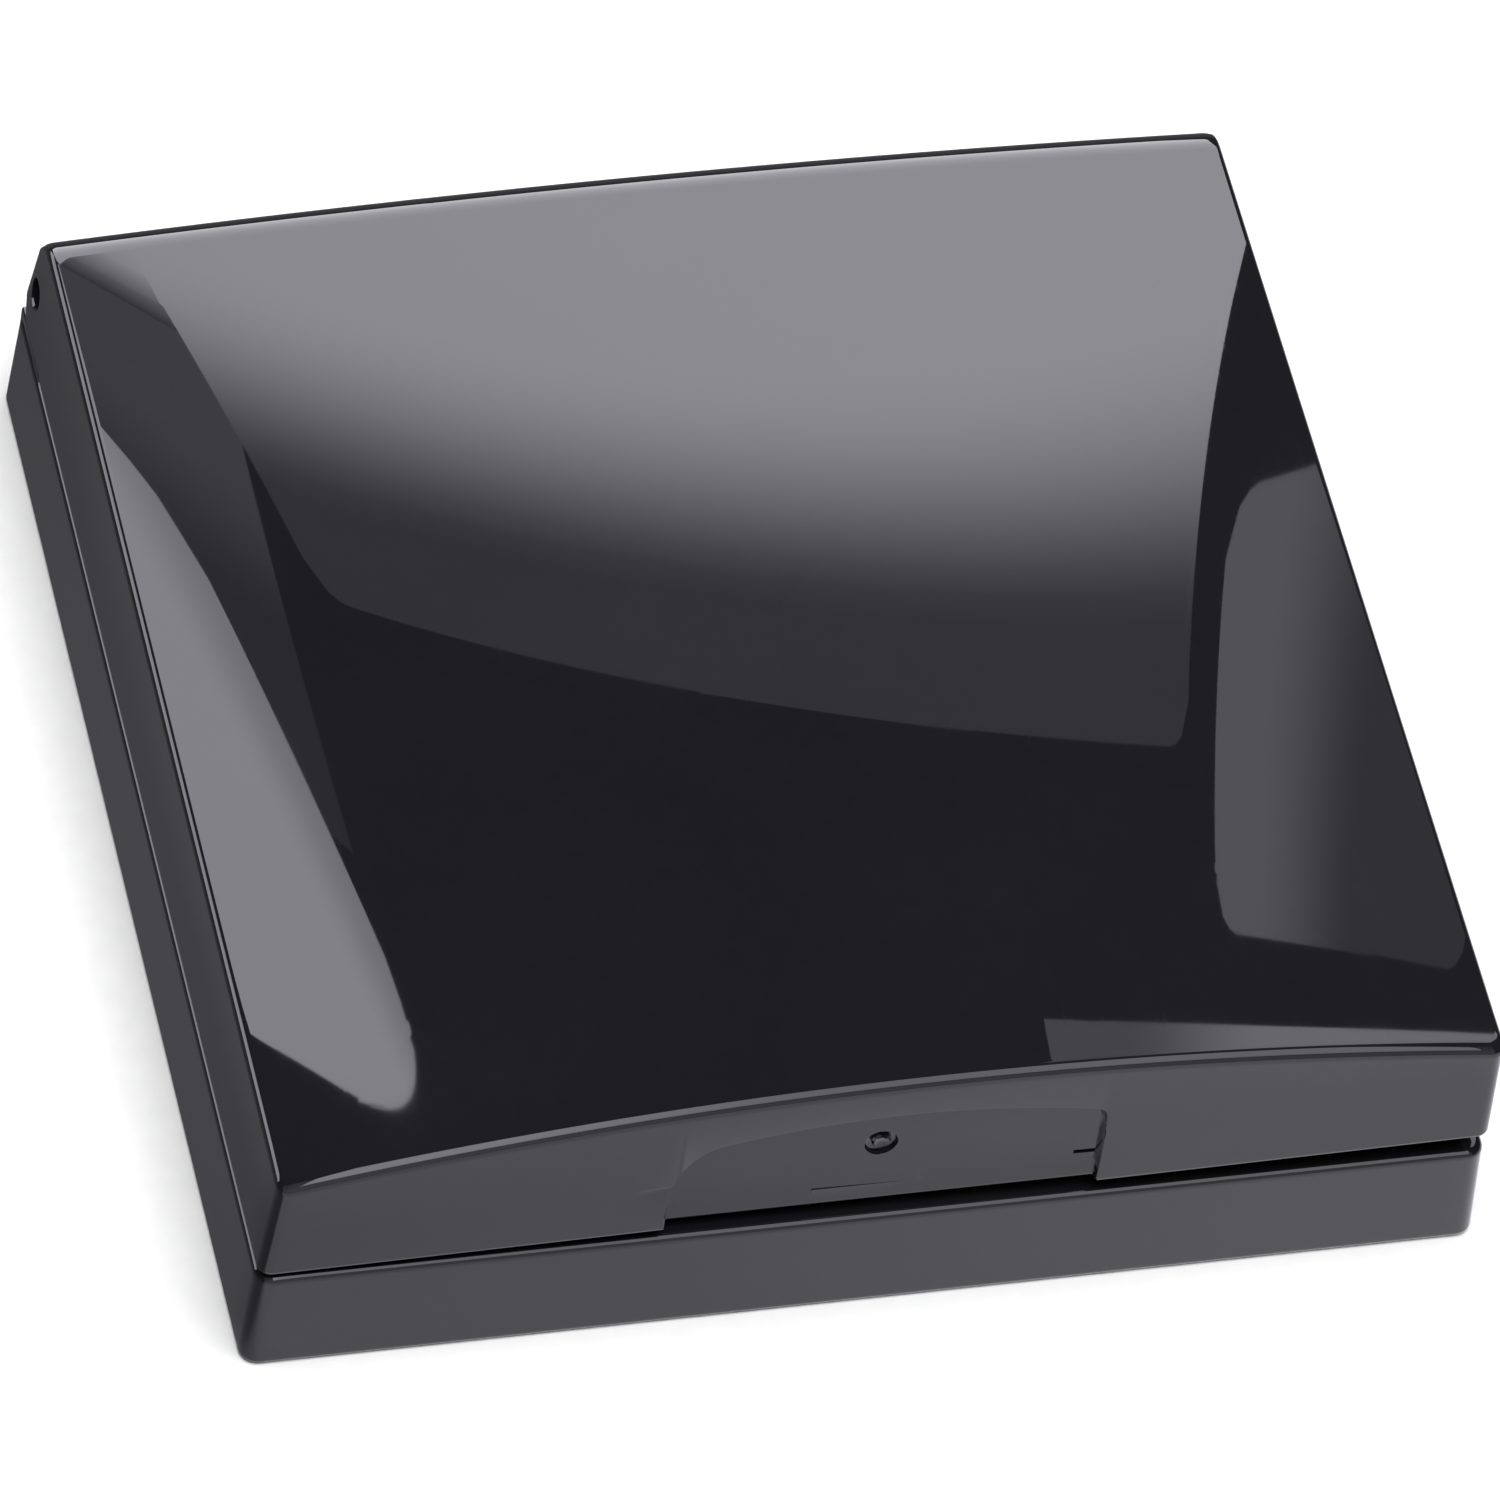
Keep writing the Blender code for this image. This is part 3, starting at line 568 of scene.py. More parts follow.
def turned(name, levels, waver=0.0, steps=40):
    """A body turned about the gate's axis from (y, radius) levels, its edge a little ragged."""
    rings = []
    for k, (y, radius) in enumerate(levels):
        loop = []
        for i in range(steps):
            t = 2 * pi * i / steps
            ragged = sin(3 * t + k) + 0.6 * sin(7 * t + 2 * k) + 0.4 * cos(11 * t)
            r = radius * (1 + waver * ragged)
            loop.append((GATE_X + r * cos(t), y, GATE_Z + r * sin(t)))
        rings.append(loop)
    return loft(name, rings)


def gate_ring():
    """The shallow dish the moulding gate was broken off in."""
    levels = ((-37, 1.05), (GATE_FACE - 0.06, 0.98), (GATE_FACE + 0.22, 0.88), (GATE_FACE + 0.3, 0.6))
    return turned("gate_dish", levels, 0.015)


def gate_stub():
    """What is left of the gate, broken off roughly inside its dish."""
    levels = ((0.6, 0.56), (0.1, 0.54), (-0.02, 0.44), (0.06, 0.2))
    return turned("gate_stub", [(GATE_FACE + y, radius) for y, radius in levels], 0.09)


def hook_profile():
    """The latch hook in (y, z), from the lid's front wall down to its barb."""
    return [
        (-32.8, 5.0), (-32.8, 9.6), (-35.5, 9.6), (-35.5, 8.5), (-33.8, 8.5),
        (-33.8, 5.6), (-34.0, 5.5), (-34.0, 5.3), (-33.6, 5.0),
    ]


def swing_cutter(radius, forward, x_start, x_end, back_radius=None):
    """Clears what would strike the base's back wall as the lid turns."""
    back_radius = back_radius or radius
    profile = [(forward, HINGE_Z - radius)]
    profile += hinge_arc(radius, 270, 280, 4) + hinge_arc(back_radius, 305, 355)
    past = HINGE_Y + 4
    profile += [(past, profile[-1][1]), (past, BASE_HEIGHT - 1), (forward, BASE_HEIGHT - 1)]
    return prism("swing", profile, x_start, x_end)


# Base


def base_size(height, inset=0.0):
    draft = BASE_DRAFT * (1 - height / BASE_HEIGHT)
    side = HALF_X + draft - inset
    return -side, side, -(HALF_Y + draft - inset), BASE_BACK - inset


def base_shell():
    rings = [
        ring(*base_size(0, FOOT_RING + 0.1), CORNER, FOOT_RECESS),
        ring(*base_size(0, FOOT_RING), CORNER, FOOT_RECESS - 0.1),
        ring(*base_size(0, FOOT_RING), CORNER, 0.12),
        ring(*base_size(0, FOOT_RING - 0.12), CORNER, 0),
    ]
    steps = 6
    for i in range(steps + 1):
        turn = radians(90 * i / steps)
        inset = FOOT_EDGE * (1 - sin(turn))
        height = FOOT_EDGE * (1 - cos(turn))
        rings.append(ring(*base_size(height, inset), CORNER, height))
    for share in (0.008, 0.2, 0.4, 0.6, 0.8, 0.992):
        height = mix(FOOT_EDGE, BASE_HEIGHT - BASE_EDGE, share)
        rings.append(ring(*base_size(height), CORNER, height))
    for i in range(steps + 1):
        turn = radians(90 * i / steps)
        inset = BASE_EDGE * (1 - cos(turn))
        height = BASE_HEIGHT - BASE_EDGE * (1 - sin(turn))
        rings.append(ring(*base_size(height, inset), CORNER, height))
    inner = base_size(BASE_HEIGHT, BASE_WALL - 0.12)
    rings.append(ring(*inner, CORNER * 0.7, BASE_HEIGHT))
    rings.append(ring(*base_size(BASE_HEIGHT, BASE_WALL), CORNER * 0.6, BASE_HEIGHT - 0.12))
    rings.append(ring(*base_size(BASE_HEIGHT, BASE_WALL), CORNER * 0.6, BASE_FLOOR))
    base = loft("base", rings)
    tools = []
    for side in (-1, 1):
        shoulder = box(
            "shoulder",
            (side * (HALF_X - BASE_WALL + 0.1), SHOULDER_START, BASE_HEIGHT - 1),
            (side * (HALF_X - 0.1), BASE_BACK - 0.4, SHOULDER_TOP),
        )
        soften(shoulder, 0.15)
        tools.append(shoulder)
        profile = hinge_arc(KNUCKLE_RADIUS, -20, 180)
        profile += [
            (HINGE_Y - KNUCKLE_RADIUS, BASE_FLOOR - 1),
            (KNUCKLE_STEM_BACK, BASE_FLOOR - 1),
            (KNUCKLE_STEM_BACK, HINGE_Z - KNUCKLE_RADIUS),
        ]
        knuckle = prism("knuckle", profile, side * KNUCKLE_INNER, side * KNUCKLE_OUTER)
        soften(knuckle, 0.15, angle=60)
        tools.append(knuckle)
    tools.append(box("catch_rib", (-4, -HALF_Y + 0.8, 5.9), (4, -34.15, 6.7)))
    carve(base, tools, "UNION")
    tools = []
    for side in (-1, 1):
        tools.append(rod("hole", [(side * x, PIN_HOLE) for x in (KNUCKLE_INNER - 1, KNUCKLE_OUTER + 1)]))
    carve(base, tools, "DIFFERENCE")
    shade(base, 30)
    return base


# Tray and its contents


def plate_ring(half_x, front, back, radius, height, steps=8):
    """A rounded rectangle with no points between its corners."""
    corners = (
        (-half_x + radius, front + radius, pi),
        (half_x - radius, front + radius, 1.5 * pi),
        (half_x - radius, back - radius, 0.0),
        (-half_x + radius, back - radius, 0.5 * pi),
    )
    points = []
    for x, y, start in corners:
        turns = [start + 0.5 * pi * i / steps for i in range(steps + 1)]
        points += [(x + radius * cos(t), y + radius * sin(t), height) for t in turns]
    return points


def tray_sides(inset=0.0):
    left, right, front, back = base_size(BASE_HEIGHT, BASE_WALL + TRAY_GAP + inset)
    return right, front, back


def tray_upstand():
    half_x, front, _ = tray_sides()
    rings = []
    for outside in (True, False):
        for i in range(4):
            turn = radians(90 * i / 3)
            inset = 0.3 * (1 - cos(turn))
            height = UPSTAND_TOP - 0.3 * (1 - sin(turn))
            if not outside:
                inset = SKIRT - inset
            rings.append((inset, height))
    half = len(rings) // 2
    rings = [(0, DECK_TOP - 1)] + rings[:half] + rings[half:][::-1] + [(SKIRT, DECK_TOP - 1)]
    loops = [
        plate_ring(half_x - inset, front + inset, UPSTAND_BACK - inset, TRAY_CORNER, height)
        for inset, height in rings
    ]
    return loft("upstand", loops, closed=True)


def inner_tray():
    tray = loft("tray", [plate_ring(*tray_sides(), TRAY_CORNER, z) for z in (TRAY_FOOT, DECK_TOP)])
    under = DECK_TOP - DECK_THICKNESS
    hollow = loft("hollow", [plate_ring(*tray_sides(SKIRT), TRAY_CORNER, z) for z in (0, under)])
    skirt = loft("skirt", [circle(WELL_RADIUS + SKIRT, z, 192) for z in (-2, DECK_TOP)])
    carve(hollow, [skirt], "DIFFERENCE")
    carve(tray, [hollow], "DIFFERENCE")
    carve(tray, [tray_upstand()], "UNION")
    well = [circle(WELL_RADIUS, 0, 192), circle(WELL_RADIUS, DECK_TOP - 0.35, 192)]
    for i in range(1, 6):
        turn = radians(90 * i / 5)
        radius = WELL_RADIUS + 0.35 * (1 - cos(turn))
        well.append(circle(radius, DECK_TOP - 0.35 * (1 - sin(turn)), 192))
    well.append(circle(WELL_RADIUS + 0.36, DECK_TOP + 2, 192))
    reach = WELL_RADIUS * sqrt(0.5)
    place = {"steps": 64, "x": reach, "y": WELL_Y - reach}
    dish = [circle(SCOOP_FLOOR, DECK_TOP - SCOOP_DEPTH, **place)]
    for i in range(1, 9):
        turn = radians(90 * i / 8)
        depth = SCOOP_DEPTH * cos(turn) ** 1.3
        dish.append(circle(SCOOP_FLOOR + 2.75 * sin(turn), DECK_TOP - depth, **place))
    dish.append(circle(SCOOP_RADIUS + 0.16, DECK_TOP + 1, **place))
    tools = [loft("well", well), loft("scoop", dish)]
    for side in (-1, 1):
        low = (side * (KNUCKLE_INNER - SIDE_GAP), KNUCKLE_BAY_FRONT, 0)
        tools.append(box("bay", low, (side * (KNUCKLE_OUTER + SIDE_GAP), BASE_BACK, UPSTAND_TOP)))
    tools.append(box("slot", (-4.7, -HALF_Y, 0), (4.7, -32.1, UPSTAND_TOP + 1)))
    carve(tray, tools, "DIFFERENCE")
    shade(tray, 32)
    return tray


def wandering(points, amount, waves):
    """Lets a loop's radius wander inwards a little, as a poured edge does."""
    moved = []
    for i, (x, y, z) in enumerate(points):
        t = 2 * pi * i / len(points)
        pull = sum(cos(n * t + n * n) for n in waves) / len(waves)
        share = 1 - amount * (0.5 + 0.5 * pull)
        moved.append((x * share, WELL_Y + (y - WELL_Y) * share, z))
    return moved


def pan_glue():
    levels = ((11.7, 1.6), (12.0, 1.68), (11.9, 1.8), (11.2, 1.85))
    return loft("glue", [wandering(circle(r, z), 0.06, (2, 3, 5, 9)) for r, z in levels])


def powder_pan():
    inside = PAN_RADIUS - PAN_WALL
    levels = [(inside - 0.9, PAN_BOTTOM)]
    for i in range(7):
        turn = radians(90 * i / 6)
        levels.append((PAN_RADIUS - 0.9 * (1 - sin(turn)), PAN_BOTTOM + 0.9 * (1 - cos(turn))))
    middle, half = PAN_RADIUS - PAN_WALL / 2, PAN_WALL / 2
    for i in range(9):
        turn = radians(180 * i / 8)
        levels.append((middle + half * cos(turn), PAN_TOP - half + half * sin(turn)))
    levels += [(inside, PAN_BOTTOM + 0.9), (inside - 0.45, PAN_BOTTOM + PAN_WALL)]
    return loft("pan", [circle(r, z, 192) for r, z in levels])


def powder_height(radius, turn):
    """The pressed face: a fluted sunburst between a plain middle and a plain border."""
    rise = 0.5 + 0.5 * cos(FLUTES * turn)
    share = smooth(5.6, 8.5, radius) * (1 - smooth(24.1, 24.6, radius))
    depth = 0.34 * share * (1 - rise**0.6) * mix(0.5, 1.0, radius / 24)
    for line, width in ((5.0, 0.32), (25.1, 0.34)):
        depth += 0.26 * np.exp(-(((radius - line) / width) ** 2))
    return POWDER_TOP - depth - 0.05 * smooth(0, 28, radius)


def pressed_powder():
    steps = FLUTES * 10
    radii = list(np.linspace(27.9, 23.9, 34)) + list(np.linspace(23.7, 1.0, 60))
    sides = (
        (POWDER_RADIUS - 0.3, POWDER_BOTTOM),
        (POWDER_RADIUS, POWDER_BOTTOM + 0.3),
        (POWDER_RADIUS, POWDER_TOP - 0.5),
        (POWDER_RADIUS - 0.14, POWDER_TOP - 0.2),
    )
    rings = [circle(radius, height, steps) for radius, height in sides]
    for radius in radii:
        loop = []
        for i, (x, y, _) in enumerate(circle(radius, 0, steps)):
            loop.append((x, y, powder_height(radius, 2 * pi * i / steps)))
        rings.append(loop)
    return loft("powder", rings, angle=50)


def clear_film():
    """A loose disc of clear sheet with a finger bite, not quite flat."""
    steps = 240
    outward = (0.02, 0.3, 0.55, 0.78, 0.92, 1.0)

    def bite(turn):
        off = (turn + 0.25 * pi + pi) % (2 * pi) - pi
        return 3.0 * (1 - smooth(0.05, 0.16, abs(off)))

    def wave(x, y):
        return 0.03 * sin(x / 7 + 1) * cos(y / 9)

    rings = []
    for level, shares in ((FILM_BOTTOM, outward), (FILM_TOP, outward[::-1])):
        for share in shares:
            loop = []
            for i in range(steps):
                turn = 2 * pi * i / steps
                radius = (FILM_RADIUS - bite(turn)) * share
                x, y = radius * cos(turn), WELL_Y + radius * sin(turn)
                loop.append((x, y, level + FILM_LIFT + wave(x, y)))
            rings.append(loop)
    return loft("film", rings)


def puff_blank():
    """Two crowned faces sewn at the rim, ten times full size so the cloth solver can hold it."""
    mesh = bmesh.new()
    radius, half = PUFF_RADIUS * PUFF_TIMES, 1.25 * PUFF_TIMES
    middle = (PUFF_BOTTOM + PUFF_TOP) / 2 * PUFF_TIMES
    steps = 26
    spots = [(k / steps, -1) for k in range(1, steps + 1)]
    spots += [(k / steps, 1) for k in range(steps - 1, 0, -1)]
    turns = [2 * pi * k / PUFF_SPOKES for k in range(PUFF_SPOKES)]
    loops = []
    for share, face in spots:
        z = middle + face * half * (1 - share**5) ** 0.6
        reach = share * radius
        loops.append([mesh.verts.new((reach * cos(t), reach * sin(t), z)) for t in turns])
    for lower, upper in zip(loops, loops[1:]):
        for i in range(PUFF_SPOKES):
            j = (i + 1) % PUFF_SPOKES
            mesh.faces.new((lower[i], lower[j], upper[j], upper[i]))
    cap(mesh, loops[0])
    cap(mesh, loops[-1])
    return mesh_object("puff", mesh)


def puff_pad():
    """Swells the sewn blank with air pressure as cloth, its rim seam held."""
    puff = puff_blank()
    middle = (PUFF_BOTTOM + PUFF_TOP) / 2 * PUFF_TIMES * MM
    before = [vert.co.copy() for vert in puff.data.vertices]
    held = puff.vertex_groups.new(name="seam")
    rim = [v.index for v in puff.data.vertices if hypot(v.co.x, v.co.y) > PUFF_SEAM]
    held.add(rim, 1.0, "ADD")
    cloth = puff.modifiers.new("cloth", "CLOTH")
    cloth.settings.quality = 6
    cloth.settings.mass = 0.3
    cloth.settings.tension_stiffness = 12
    cloth.settings.compression_stiffness = 12
    cloth.settings.bending_stiffness = 0.4
    cloth.settings.use_pressure = True
    cloth.settings.uniform_pressure_force = 4
    cloth.settings.effector_weights.gravity = 0
    cloth.settings.vertex_group_mass = "seam"
    scene = bpy.context.scene
    for frame_number in range(1, 21):
        scene.frame_set(frame_number)
    settle(puff)
    scene.frame_set(1)
    for vert, start in zip(puff.data.vertices, before):
        move = vert.co - start
        limit = PUFF_CAP * MM
        if move.length > limit:
            move *= limit / move.length
        vert.co = start + move
    puff.vertex_groups.clear()
    thickness = (PUFF_TOP - PUFF_BOTTOM) / 2 * PUFF_TIMES * MM
    for vert in puff.data.vertices:
        off = vert.co.z - middle
        vert.co.z = middle + thickness * np.tanh(off / thickness * 1.25) / np.tanh(1.25)
    puff.data.transform(Matrix.Scale(1 / PUFF_TIMES, 4))
    puff.data.transform(Matrix.Translation((0, WELL_Y * MM, 0)))
    finer = puff.modifiers.new("finer", "SUBSURF")
    finer.levels = finer.render_levels = 1
    settle(puff)
    shade(puff, 180)
    return puff


def puff_ribbon():
    """A woven band drawn over the puff, slightly crowned, with its ends turned down."""
    columns, rows = 120, 28
    mesh = bmesh.new()
    grid = []
    arc = 0.5 * pi * RIBBON_BEND
    for i in range(columns + 1):
        along = mix(-1, 1, i / columns) * (RIBBON_SHOULDER + arc)
        side = -1 if along < 0 else 1
        past = abs(along) - RIBBON_SHOULDER
        turn = max(0.0, past) / RIBBON_BEND
        x = side * (min(abs(along), RIBBON_SHOULDER) + RIBBON_BEND * sin(turn))
        drop = RIBBON_BEND * (1 - cos(turn))
        column = []
        for j in range(rows + 1):
            across = mix(-1, 1, j / rows)
            ripple = 0.035 * sin(along / 3.1 + across * 1.7) + 0.02 * sin(along / 1.3 - across * 2)
            ripple *= 1 - smooth(0, 0.6, abs(turn))
            z = RIBBON_UNDER + RIBBON_THICKNESS / 2 - drop + ripple - 0.05 * across**2
            column.append(mesh.verts.new((x, WELL_Y + across * (RIBBON_HALF - 0.03), z)))
        grid.append(column)
    skin(mesh, grid)
    ribbon = mesh_object("ribbon", mesh, 60)
    thick = ribbon.modifiers.new("thick", "SOLIDIFY")
    thick.thickness = 0.2 * MM
    thick.offset = 0
    settle(ribbon)
    shade(ribbon, 50)
    return ribbon


# Liner, mirror and label


def lid_liner():
    size = (LINER_HALF, LINER_FRONT, LINER_BACK)
    liner = loft("liner", [plate_ring(*size, CORNER, z) for z in (LINER_FACE, LINER_TOP)])
    soften(liner, 0.35, segments=3)
    pocket = (MIRROR_HALF + MIRROR_GAP, MIRROR_FRONT - MIRROR_GAP, MIRROR_BACK + MIRROR_GAP)
    turns = [radians(degrees) for degrees in (0, 22, 45, 68, 90)]
    lip = [(0.45 * (1 - sin(t)), LINER_FACE + 0.45 * (1 - cos(t))) for t in turns]
    rings = [(0.46, LINER_FACE - 2)] + lip + [(0, LINER_PLATE)]
    loops = []
    for grow, height in rings:
        grown = (pocket[0] + grow, pocket[1] - grow, pocket[2] + grow)
        loops.append(plate_ring(*grown, MIRROR_CORNER + grow, height))
    low, high = LINER_FACE + LINER_WEB, LINER_TOP + 2
    out = (size[0] - LINER_WEB, size[1] + LINER_WEB, size[2] - LINER_WEB)
    into = (pocket[0] + LINER_WEB, pocket[1] - LINER_WEB, pocket[2] + LINER_WEB)
    channel = [plate_ring(*out, CORNER, low), plate_ring(*out, CORNER, high)]
    channel += [plate_ring(*into, MIRROR_CORNER, high), plate_ring(*into, MIRROR_CORNER, low)]
    carve(liner, [loft("pocket", loops), loft("channel", channel, closed=True)], "DIFFERENCE")
    shade(liner, 32)
    return liner


def mirror_glass():
    """Float glass with a ground border round its face and a softened back edge."""
    levels = ((0.95, 0.0), (0.9, 0.012), (0.12, 0.2), (0.0, 0.32), (0.0, 1.12), (0.08, MIRROR_THICKNESS))
    loops = []
    for inset, height in levels:
        size = (MIRROR_HALF - inset, MIRROR_FRONT + inset, MIRROR_BACK - inset)
        loops.append(plate_ring(*size, max(0.5, MIRROR_CORNER - inset), MIRROR_FACE + height))
    return loft("mirror_glass", loops, angle=12)


def mirror_tape():
    loops = []
    for inset, height in ((0.08, 11.65), (0, 11.72), (0, 11.98), (0.08, 12.05)):
        size = (TAPE_HALF - inset, TAPE_FRONT + inset, TAPE_BACK - inset)
        loops.append(plate_ring(*size, MIRROR_CORNER, height))
    return loft("tape", loops)


def base_label():
    size = (LABEL_HALF_X, -LABEL_HALF_Y, LABEL_HALF_Y, LABEL_CORNER)
    return loft("label", [plate_ring(*size, height) for height in (0.25, 0.4)])


# Materials


class Look:
    """A material with one Principled shader, and helpers that add procedural detail to it."""

    def __init__(self, name, **sockets):
        self.material = bpy.data.materials.new(name)
        self.material.use_nodes = True
        self.tree = self.material.node_tree
        self.shader = self.tree.nodes["Principled BSDF"]
        for key, value in sockets.items():
            self.shader.inputs[key.replace("_", " ")].default_value = value
        coords = self.tree.nodes.new("ShaderNodeTexCoord")
        self.coords = coords.outputs["Object"]

    def node(self, kind, **values):
        made = self.tree.nodes.new(kind)
        for key, value in values.items():
            if hasattr(made, key):
                setattr(made, key, value)
            else:
                made.inputs[key.replace("_", " ")].default_value = value
        return made

    def link(self, source, target):
        self.tree.links.new(source, target)

    def stretched(self, scale, turn=0.0):
        mapping = self.node("ShaderNodeMapping")
        mapping.inputs["Scale"].default_value = scale
        mapping.inputs["Rotation"].default_value = (0, 0, turn)
        self.link(self.coords, mapping.inputs["Vector"])
        return mapping.outputs["Vector"]

    def noise(self, scale, detail=2.0, roughness=0.5, coords=None):
        made = self.node("ShaderNodeTexNoise", Scale=scale, Detail=detail, Roughness=roughness)
        self.link(coords or self.coords, made.inputs["Vector"])
        return made.outputs["Fac"]

    def remap(self, source, low, high, to_low, to_high):
        made = self.node("ShaderNodeMapRange")
        for key, value in (("From Min", low), ("From Max", high), ("To Min", to_low), ("To Max", to_high)):
            made.inputs[key].default_value = value
        self.link(source, made.inputs["Value"])
        return made.outputs["Result"]

    def math(self, operation, a, b):
        made = self.node("ShaderNodeMath", operation=operation)
        for socket, value in zip(made.inputs, (a, b)):
            if isinstance(value, (int, float)):
                socket.default_value = value
            else:
                self.link(value, socket)
        return made.outputs[0]

    def colours(self, factor, stops):
        ramp = self.node("ShaderNodeValToRGB")
        elements = ramp.color_ramp.elements
        while len(elements) < len(stops):
            elements.new(0.5)
        for element, (position, colour) in zip(elements, stops):
            element.position = position
            element.color = (*colour, 1.0)
        self.link(factor, ramp.inputs["Fac"])
        return ramp.outputs["Color"]

    def colour(self, factor, stops):
        self.link(self.colours(factor, stops), self.shader.inputs["Base Color"])

    def roughness(self, source):
        self.link(source, self.shader.inputs["Roughness"])

    def bump(self, height, distance, strength=1.0):
        made = self.node("ShaderNodeBump", Strength=strength, Distance=distance)
        self.link(height, made.inputs["Height"])
        old = self.shader.inputs["Normal"].links
        if old:
            self.link(old[0].from_socket, made.inputs["Normal"])
        self.link(made.outputs["Normal"], self.shader.inputs["Normal"])

    def scratches(self, width, seed_turn):
        """Hair-thin lines, 1 on a line and 0 between."""
        wave = self.node("ShaderNodeTexVoronoi", feature="DISTANCE_TO_EDGE", Scale=1.0)
        self.link(self.stretched((900, 26, 300), seed_turn), wave.inputs["Vector"])
        return self.remap(wave.outputs["Distance"], 0.0, width, 1.0, 0.0)


def gloss_black():
    look = Look("gloss_black", Base_Color=(0.006, 0.006, 0.0075, 1), IOR=1.5)
    smudge = look.noise(55, 4, 0.6)
    fine = look.noise(900, 3, 0.6)
    grey = look.math("ADD", look.math("MULTIPLY", smudge, 0.7), look.math("MULTIPLY", fine, 0.3))
    look.colour(grey, ((0.3, (0.0066, 0.0061, 0.0081)), (0.7, (0.0086, 0.0081, 0.0104))))
    lines = look.scratches(0.006, 0.4)
    rough = look.math("ADD", look.remap(smudge, 0.4, 0.75, 0.008, 0.022), look.math("MULTIPLY", lines, 0.02))
    look.roughness(rough)
    look.bump(look.noise(160, 2), 0.0000006, 0.25)
    return look.material


def satin_black():
    look = Look("satin_black", Base_Color=(0.014, 0.014, 0.016, 1), IOR=1.5)
    grain = look.noise(5200, 3, 0.6)
    cloud = look.noise(60, 3, 0.5)
    look.colour(cloud, ((0.3, (0.012, 0.012, 0.014)), (0.7, (0.019, 0.019, 0.021))))
    look.roughness(look.remap(grain, 0.3, 0.7, 0.26, 0.42))
    look.bump(grain, 0.000012, 0.5)
    return look.material


def steel():
    look = Look("steel", Metallic=1.0, Base_Color=(0.3, 0.3, 0.32, 1))
    turned = look.noise(60, 4, 0.6, look.stretched((60, 4, 4)))
    look.colour(turned, ((0.3, (0.22, 0.22, 0.24)), (0.7, (0.42, 0.42, 0.44))))
    look.roughness(look.remap(turned, 0.3, 0.7, 0.22, 0.4))
    look.bump(turned, 0.000004, 0.5)
    return look.material


MATERIALS = {"gloss": gloss_black(), "satin": satin_black(), "steel": steel()}


def dress(obj, body, material, slot, *replaced):
    """Gives a finished piece its material and its body, and hides the CAD nodes it stands for. The slot it
    is given is not used.
    """
    obj.data.materials.clear()
    obj.data.materials.append(MATERIALS[material])
    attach(obj, body)
    if replaced:
        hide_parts(*replaced)
    return obj


def velour():
    look = Look("velour", Roughness=0.95, Sheen_Weight=0.18, Sheen_Roughness=0.45)
    look.shader.inputs["Sheen Tint"].default_value = (1.0, 0.96, 0.92, 1)
    nap = look.noise(260, 4, 0.65)
    pile = look.noise(3600, 3, 0.7, look.stretched((1, 1.7, 1)))
    both = look.math("ADD", look.math("MULTIPLY", nap, 0.45), look.math("MULTIPLY", pile, 0.55))
    look.colour(both, ((0.32, (0.44, 0.35, 0.28)), (0.5, (0.56, 0.46, 0.38)), (0.7, (0.66, 0.56, 0.48))))
    look.bump(pile, 0.00006, 0.8)
    look.bump(nap, 0.00018, 0.5)
    return look.material


def ribbon_satin():
    look = Look("ribbon_satin", Roughness=0.34, Anisotropic=0.7, Sheen_Weight=0.15)
    ribs = look.node("ShaderNodeTexWave", wave_type="BANDS", bands_direction="X")
    ribs.inputs["Scale"].default_value = 700
    ribs.inputs["Distortion"].default_value = 0.6
    look.link(look.coords, ribs.inputs["Vector"])
    threads = look.node("ShaderNodeTexWave", wave_type="BANDS", bands_direction="Y")
    threads.inputs["Scale"].default_value = 1100
    threads.inputs["Distortion"].default_value = 1.2
    look.link(look.coords, threads.inputs["Vector"])
    weave = look.math("MULTIPLY", ribs.outputs["Fac"], threads.outputs["Fac"])
    lint = look.noise(1500, 4, 0.7)
    stops = ((0.35, (0.010, 0.010, 0.012)), (0.62, (0.016, 0.016, 0.018)), (0.8, (0.05, 0.048, 0.046)))
    look.colour(lint, stops)
    look.roughness(look.remap(weave, 0.0, 1.0, 0.30, 0.48))
    look.bump(weave, 0.00003, 0.7)
    return look.material


def pressed_tint():
    look = Look("pressed_tint", Roughness=0.88, Specular_IOR_Level=0.25)
    cloud = look.noise(140, 5, 0.6)
    grain = look.noise(4200, 4, 0.8)
    both = look.math("ADD", look.math("MULTIPLY", cloud, 0.6), look.math("MULTIPLY", grain, 0.4))
    look.colour(both, ((0.34, (0.55, 0.33, 0.22)), (0.5, (0.63, 0.41, 0.28)), (0.68, (0.71, 0.49, 0.35))))
    look.roughness(look.remap(grain, 0.3, 0.7, 0.8, 0.97))
    look.bump(grain, 0.00002, 0.7)
    look.bump(cloud, 0.00004, 0.4)
    return look.material


def drawn_aluminium():
    look = Look("drawn_aluminium", Metallic=1.0)
    lines = look.noise(90, 4, 0.6, look.stretched((3, 3, 60)))
    dull = look.noise(500, 4, 0.7)
    look.colour(lines, ((0.3, (0.62, 0.62, 0.64)), (0.7, (0.80, 0.80, 0.82))))
    mixed = look.math("MULTIPLY", look.math("ADD", lines, dull), 0.5)
    look.roughness(look.remap(mixed, 0.35, 0.65, 0.22, 0.42))
    look.bump(lines, 0.000006, 0.5)
    return look.material


def film_plastic():
    look = Look("film_plastic", IOR=1.45, Transmission_Weight=1.0)
    haze = look.noise(80, 4, 0.6)
    dust = look.noise(2600, 2, 0.5)
    look.colour(haze, ((0.3, (0.93, 0.94, 0.95)), (0.7, (0.98, 0.98, 0.99))))
    hazy = look.remap(haze, 0.35, 0.7, 0.02, 0.07)
    dusty = look.remap(dust, 0.66, 0.76, 0.0, 0.2)
    look.roughness(look.math("ADD", hazy, dusty))
    look.bump(haze, 0.00002, 0.3)
    return look.material


